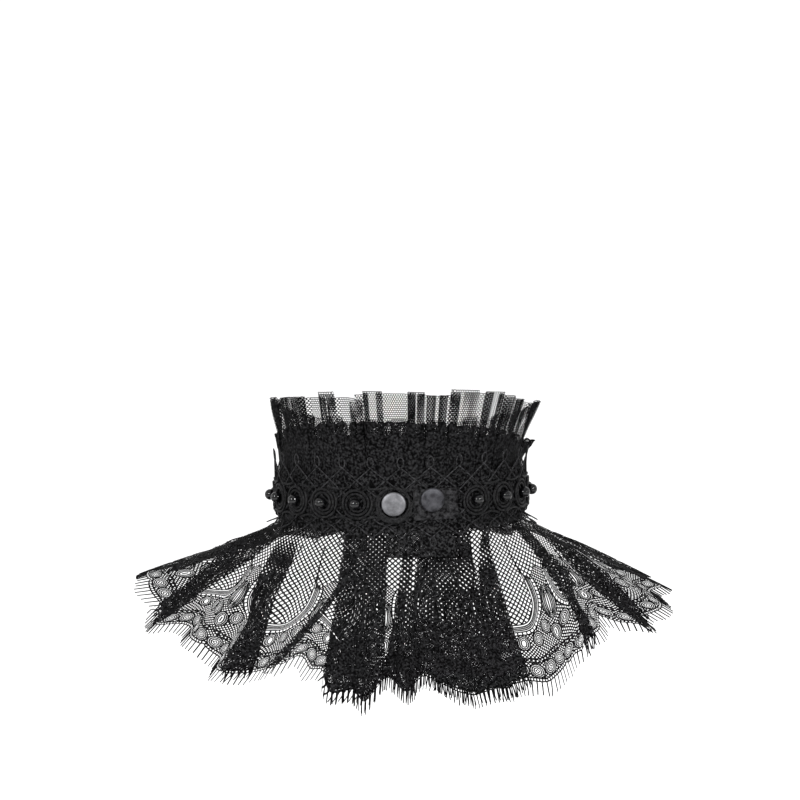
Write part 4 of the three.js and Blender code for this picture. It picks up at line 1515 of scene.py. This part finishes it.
@dataclass
class Guipure:
    """The corded lace over the strip: a lattice of cords with loops at its edges, and a fine filling."""

    sheet: GuipureSheet
    repeats: int = 27
    top: float = 18.3
    cell: float = 12.7
    rows: int = 3
    cord: float = 0.34
    raised: float = 0.1  # how high the cords lie on the filling
    thread: float = 0.44
    pitch: float = 1.15
    inner: float = 0.55  # size of the diamond inside a diamond, as a share
    inner_cord: float = 0.5
    inner_ridge: float = 0.4
    curl: Span = (0.4, 1.7)  # its first and last radius
    curl_turns: float = 1.5
    covers: Span = (-18.4, 14.0)  # between these heights the filling is everywhere
    upper_loop: Span = (1.6, 2.8)  # half width, and how far its middle is past the edge
    lower_loop: Span = (1.5, -2.6)
    # Where the collar's ends overlap, between these angles, its filling is doubled and reaches lower
    doubled: Span = (353.0, 383.0)
    doubled_to: float = -31.0
    doubled_pitch: float = 0.92
    doubled_under: float = -0.2
    step: float = 1.3

    def build(self) -> list[Piece]:
        """Makes and dresses the lace."""
        neck = self.sheet.neck
        start, end = (angle * self.sheet.degree for angle in (neck.seam_start, neck.seam_end))
        period = TURN * self.sheet.degree / self.repeats
        half, bottom = period / 2, self.top - self.cell * self.rows
        cords, motif = Strips(), Strips()
        for side in (-1, 1):
            for row in range(2 * self.rows):
                high = self.top - row * self.cell / 2
                shift = half if row % 2 else 0.0
                way = run((shift, high), (shift + side * half, high - self.cell / 2), self.step)
                cords.cord(way, self.cord, self.raised)
        for row in range(2 * self.rows - 1):
            shift = half if row % 2 else 0.0
            self.cell_work(motif, (shift, self.top - (row + 1) * self.cell / 2), half)
        for at, (wide, high) in ((self.top, self.upper_loop), (bottom, self.lower_loop)):
            cords.cord(arc((0, at + high), (wide, abs(high)), 0, TURN, 1.0), self.cord, self.raised)
        places = (math.floor(start / period) + np.arange(self.repeats + 2)) * period
        left, right = (angle * self.sheet.degree for angle in self.doubled)

        def cloth(x: Array, y: Array) -> Array:
            """Where the filling is: everywhere on the strip, and in the lattice's points past it."""
            zigzag = wave(x / period + 0.5) * self.cell / 2
            high = np.maximum(self.covers[1], self.top - self.cell / 2 + zigzag)
            low = np.minimum(self.covers[0], bottom + self.cell / 2 - zigzag)
            low = np.where((x > left) & (x < right), self.doubled_to, low)
            return (y < high) & (y > low)

        filling = motif.repeated(places)
        corners = (start, self.doubled_to), (end, self.top)
        filling.bars(*diamonds(*corners, (self.pitch, self.pitch), cloth), self.thread)
        under = (left, self.doubled_to), (right, bottom + self.cell / 2)
        close = diamonds(*under, (self.doubled_pitch, self.doubled_pitch), cloth)
        filling.bars(*close, self.thread, self.doubled_under)
        made = []
        for name, work, finish in (
            ("guipure_lace", filling, Trim.GUIPURE),
            ("guipure_cords", cords.repeated(places), Trim.CORD),
        ):
            piece = work.kept(start, end).piece(name, self.sheet.place, finish.value, "guipure")
            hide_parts("guipure_band")
            made.append(piece)
        flat = ((end - start) * MM, (self.top - bottom) * MM)
        flat[0] * flat[1]
        return made

    def cell_work(self, motif: Strips, middle: Pair, half: float) -> None:
        """Fills one diamond with a smaller one and a curl."""
        reach = np.array([half, self.cell / 2]) * self.inner
        corners = middle + np.array([(0, 1), (1, 0), (0, -1), (-1, 0), (0, 1)]) * reach
        ways = [run(one, other, self.step) for one, other in zip(corners, corners[1:])]
        for way in (*ways, spiral(middle, self.curl, 0.0, self.curl_turns, 18)):
            motif.line(way, self.inner_cord, self.inner_ridge, self.raised)


@dataclass
class GimpBraid:
    """The chain of coiled cord rosettes, and the open coil round the first snap."""

    neck: NeckLine
    face: float = 4.3
    first: float = 35.1
    pitch: float = 16.93
    beads: int = 19
    degree: float = 1.137
    outer: float = 8.4
    inner: float = 3.5
    turns: float = 2.7
    start: float = 150.0  # where each coil starts, in degrees
    points: int = 22  # in a turn
    dish: float = 0.55  # how much higher a rosette is between its middle and its edge
    dish_end: float = 0.85  # how far down it has come at the edge, as a share
    cord: float = 0.68
    link_cord: float = 0.62
    link: Span = (0.16, 0.84)  # where a link starts and ends between two middles
    link_out: float = 8.6
    link_bow: float = 2.4
    link_shares: Span = (0.64, 0.5)  # how much of that the lower and the upper link bow
    cap_angle: float = 356.7
    cap_z: float = -0.3
    cap_ring: Span = (7.5, 9.2)
    cap_turns: float = 1.6
    tail_radius: float = 9.6

    def place(self, along: Array, across: Array, lift: Array) -> Array:
        """Points in space, for a length along the braid, a height on it and a lift off it."""
        return self.neck.place(along / self.degree, across, self.face + lift)

    def angles(self) -> list[float]:
        """Where the beads are."""
        return [self.first + self.pitch * i for i in range(self.beads)]

    def coil(self, centre: Pair, radii: Span, turns: float) -> Array:
        """One coil of cord, from inside to outside."""
        return spiral(centre, radii, self.start, turns, round(turns * self.points) + 1)

    def build(self) -> list[Piece]:
        """Makes and dresses the braid."""
        work = Strips()
        middles = [angle * self.degree for angle in self.angles()]
        cap = self.cap_angle * self.degree
        for middle in middles:
            way = self.coil((middle, 0.0), (self.inner, self.outer), self.turns)
            rise = self.dish * np.sin(np.linspace(0, 1, len(way)) * np.pi * self.dish_end)
            work.cord(way, self.cord, rise, sides=8, taper=0.95)
        share = np.linspace(0, 1, 18)
        for one, other in zip(middles, [*middles[1:], cap]):
            along = between(one, other, between(*self.link, share))
            for side, part in zip((-1, 1), self.link_shares):
                across = side * (self.link_out - part * self.link_bow * np.sin(share * np.pi))
                work.cord(np.column_stack([along, across]), self.link_cord, 0.05)
        work.cord(self.coil((cap, self.cap_z), self.cap_ring, self.cap_turns), self.cord, 0.1, sides=8)
        work.cord(self.tail(cap), self.cord, 0.15, sides=8, taper=0.8)
        braid = work.piece("gimp_cords", self.place, Trim.GIMP.value, "gimp")
        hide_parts("gimp_braid")
        return [braid]

    def tail(self, cap: float) -> Array:
        """The coil's end, which sweeps under the cap and off to the right."""
        sweep = arc((cap, self.cap_z), (self.tail_radius, self.tail_radius), 200, 318, 1.2)
        return np.vstack([sweep, sweep[-1] + np.array([[1.3, 1.1], [2.8, 1.9], [4.4, 2.3]])])


@dataclass
class Beads:
    """The round beads, one in each rosette."""

    neck: NeckLine
    braid: GimpBraid
    radius: float = 2.9
    hole: float = 0.55  # its depth
    hole_from: float = 0.985  # how far out its edge is, as a share of the radius
    hole_tapers: float = 0.8
    face: float = 4.5

    def model(self) -> Piece:
        """Models one bead, with a hole for its thread."""
        start_part()
        bpy.ops.mesh.primitive_uv_sphere_add(segments=32, ring_count=18, radius=self.radius * MM)
        bead = bpy.context.object
        bpy.ops.object.mode_set(mode="EDIT")
        for sign in (-1, 1):
            pole = self.radius * MM * self.hole_from
            select_faces(bead, lambda centre, normal: centre.z * sign > pole)
            extrude(-sign * self.hole, self.hole_tapers)
        bpy.ops.object.mode_set(mode="OBJECT")
        bead.data.transform(Matrix.Rotation(math.pi / 2, 4, "Y"))
        bpy.ops.object.shade_smooth_by_angle(angle=math.radians(50))
        return bead

    def build(self) -> list[Piece]:
        """Makes a bead for each rosette and dresses it."""
        model = self.model()
        beads = []
        for i, angle in enumerate(self.braid.angles()):
            bead = model.copy()
            bead.data = model.data.copy()
            bead.name = bead.data.name = f"jet_bead_{i + 1:02d}"
            bpy.context.scene.collection.objects.link(bead)
            bead.data.transform(self.neck.stand(angle, 0.0, self.face + self.radius))
            dressed(bead, Trim.BEAD.value)
            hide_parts(f"bead_{i + 1:02d}")
            beads.append(bead)
        bpy.data.objects.remove(model)
        return beads


def start_part() -> None:
    """Leaves nothing selected, so that the next operator acts on new work alone."""
    if bpy.context.object and bpy.context.object.mode != "OBJECT":
        bpy.ops.object.mode_set(mode="OBJECT")
    bpy.ops.object.select_all(action="DESELECT")


def select_faces(part: Piece, wanted: Callable[[Vector, Vector], bool]) -> None:
    """Selects the faces whose middle and normal are wanted, in edit mode."""
    bpy.ops.mesh.select_mode(type="FACE")
    bpy.ops.mesh.select_all(action="DESELECT")
    bpy.ops.object.mode_set(mode="OBJECT")
    for face in part.data.polygons:
        face.select = bool(wanted(face.center, face.normal))
    bpy.ops.object.mode_set(mode="EDIT")


def extrude(rise: float, scale: float = 1.0) -> None:
    """Extrudes the selected faces along Z by rise millimetres and scales what is then the end."""
    bpy.ops.mesh.extrude_region_move(TRANSFORM_OT_translate={"value": (0, 0, rise * MM)})
    bpy.ops.transform.resize(value=(scale, scale, 1))


@dataclass
class Snaps:
    """The two snap caps with their posts, and the studs that they close on."""

    neck: NeckLine
    radius: float = 6.25
    height: float = 2.1
    rim: float = 0.55
    post: float = 1.9
    socket: float = 4.6
    socket_height: float = 1.4
    roof: float = -0.3
    edge_drop: float = 0.85  # how much lower than its middle the cap's edge is
    # How far in each step of its dome goes, and how far up
    dome: tuple[Span, ...] = ((0.25, 0.26), (0.45, 0.2), (0.9, 0.2), (1.3, 0.12), (1.5, 0.05))
    bevel: float = 0.14
    # Name, angle, height, the depth of the cap's foot, and its finish
    snaps: tuple[tuple[str, float, float, float, Trim], ...] = (
        # Each cap's finish carries its painted light or shade: lighter on the left, darker on the right.
        ("left", 356.7, -0.3, 4.5, Trim.CAP_LEFT_PAINTED_LIT), ("right", 373.6, 1.5, 5.8, Trim.CAP_RIGHT_PAINTED_SHADE),
    )

    def model(self, foot: float) -> Piece:
        """Models a cap that looks along +Z: a low dome with a rolled rim, its post and its socket.

        Args:
            foot: how far the cap's foot is out from the strip's inner face.

        Returns:
            The cap, whose origin is on that inner face.
        """
        start_part()
        mid = (foot + self.height / 2) * MM
        bpy.ops.mesh.primitive_cylinder_add(
            vertices=64, radius=self.radius * MM, depth=self.height * MM, location=(0, 0, mid)
        )
        cap = bpy.context.object
        bpy.ops.object.transform_apply(location=True)
        bpy.ops.object.mode_set(mode="EDIT")
        select_faces(cap, lambda centre, normal: normal.z > 0.9)
        bpy.ops.transform.translate(value=(0, 0, -self.edge_drop * MM))
        for inset, rise in self.dome:
            bpy.ops.mesh.inset(thickness=inset * MM)
            bpy.ops.transform.translate(value=(0, 0, rise * MM))
        select_faces(cap, lambda centre, normal: normal.z < -0.9)
        bpy.ops.mesh.inset(thickness=self.rim * MM)
        bpy.ops.mesh.inset(thickness=(self.radius - self.rim - self.post) * MM)
        extrude(self.roof - foot)
        extrude(0.0, self.socket / self.post)
        extrude(-self.socket_height)
        bpy.ops.object.mode_set(mode="OBJECT")
        bevel = cap.modifiers.new("edges", "BEVEL")
        bevel.width, bevel.segments, bevel.limit_method = self.bevel * MM, 2, "ANGLE"
        bpy.ops.object.modifier_apply(modifier=bevel.name)
        bpy.ops.object.shade_smooth_by_angle(angle=math.radians(35))
        return cap

    def build(self) -> list[Piece]:
        """Makes and dresses the caps, and gives the studs their metal."""
        made = []
        for name, angle, z, foot, trim in self.snaps:
            cap = self.model(foot)
            cap.name = cap.data.name = f"cap_{name}"
            cap.data.transform(self.neck.stand(angle, z, 0.0) @ Matrix.Rotation(math.pi / 2, 4, "X"))
            dressed(cap, trim.value)
            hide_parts(f"snap_cap_{name}")
            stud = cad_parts[f"snap_stud_{name}"]
            stud.data.materials.clear()
            stud.data.materials.append(Workshop.material(Trim.STUD.value))
            made.append(cap)
        return made


@dataclass
class Studio:
    """The floor, the soft lights and the camera."""

    floor_z: float = -0.34
    floor_size: float = 60.0
    distance: float = 2.0
    tilt: float = 5.5
    roll: float = 1.27
    frame_width: float = 0.424  # what the photograph's frame spans at the collar
    raised: float = 0.0469  # how far over the origin the frame's middle is
    aside: float = -0.0005
    sensor: float = 36.0
    window: Span = (2.0, 10.0)  # size and power
    softbox: Span = (0.16, 52.0)
    wing: Span = (0.9, 9.0)
    surroundings: float = 1.1

    def camera(self) -> None:
        """Puts the camera where the photograph was taken from."""
        tilt, roll = math.radians(self.tilt), math.radians(self.roll)
        ahead = Vector((0, math.cos(tilt), -math.sin(tilt)))
        right, up = Vector((1, 0, 0)), Vector((0, math.sin(tilt), math.cos(tilt)))
        side = right * math.cos(roll) - up * math.sin(roll)
        top = right * math.sin(roll) + up * math.cos(roll)
        lens = bpy.data.cameras.new("camera")
        lens.sensor_width = self.sensor
        lens.lens = self.sensor * self.distance / self.frame_width
        camera = bpy.data.objects.new("camera", lens)
        spot = -ahead * self.distance + top * self.raised + side * self.aside
        camera.matrix_world = Matrix.Translation(spot) @ Matrix((side, top, -ahead)).transposed().to_4x4()
        bpy.context.scene.collection.objects.link(camera)
        bpy.context.scene.camera = camera

    def light(self, name: str, spot: Sequence[float], size: float, power: float) -> None:
        """Adds a square soft light that looks at the collar."""
        lamp = bpy.data.lights.new(name, "AREA")
        lamp.size, lamp.energy = size, power
        holder = bpy.data.objects.new(name, lamp)
        holder.location = spot
        holder.rotation_euler = (-Vector(spot)).to_track_quat("-Z", "Y").to_euler()
        bpy.context.scene.collection.objects.link(holder)

    def build(self) -> None:
        """Makes the floor, the lights, the surroundings and the camera."""
        start_part()
        bpy.ops.mesh.primitive_plane_add(size=self.floor_size, location=(0, 0, self.floor_z))
        floor = bpy.context.object
        floor.name = "floor"
        floor.data.materials.append(FloorFinish().material())
        floor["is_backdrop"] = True
        self.light("window", (-0.3, -0.6, 2.2), *self.window)
        for side in (-1, 1):
            self.light(f"softbox_{side}", (side * 0.95, -1.45, 0.75), *self.softbox)
            self.light(f"wing_{side}", (side * 1.9, -0.3, 0.7), *self.wing)
        world = bpy.data.worlds.new("studio")
        world.use_nodes = True
        background = world.node_tree.nodes["Background"]
        background.inputs["Color"].default_value = (1, 1, 1, 1)
        background.inputs["Strength"].default_value = self.surroundings
        bpy.context.scene.world = world
        bpy.context.scene.view_settings.view_transform = "Standard"
        self.camera()


def main() -> None:
    """Builds the collar piece by piece, and then its studio."""
    neck = NeckLine()
    standing = Standing(neck)
    hanging = Hanging(neck)
    braid = GimpBraid(neck)
    makers = [
        BandAndTab(neck),
        Guipure(GuipureSheet(neck, standing, hanging)),
        braid,
        Beads(neck, braid),
        Snaps(neck),
        StandingRuffles(standing),
        HangingLace(hanging),
    ]
    for maker in makers:
        for piece in maker.build():
            triangles = sum(len(face.vertices) - 2 for face in piece.data.polygons)
            LOG.info("%s made %s: %d triangles", type(maker).__name__, piece.name, triangles)
    Studio().build()
    boxes = {"cad": CAD_BOX, "visual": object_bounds()}
    {key: [list(map(float, corner)) for corner in box] for key, box in boxes.items()}


if __name__ == "__main__":
    main()
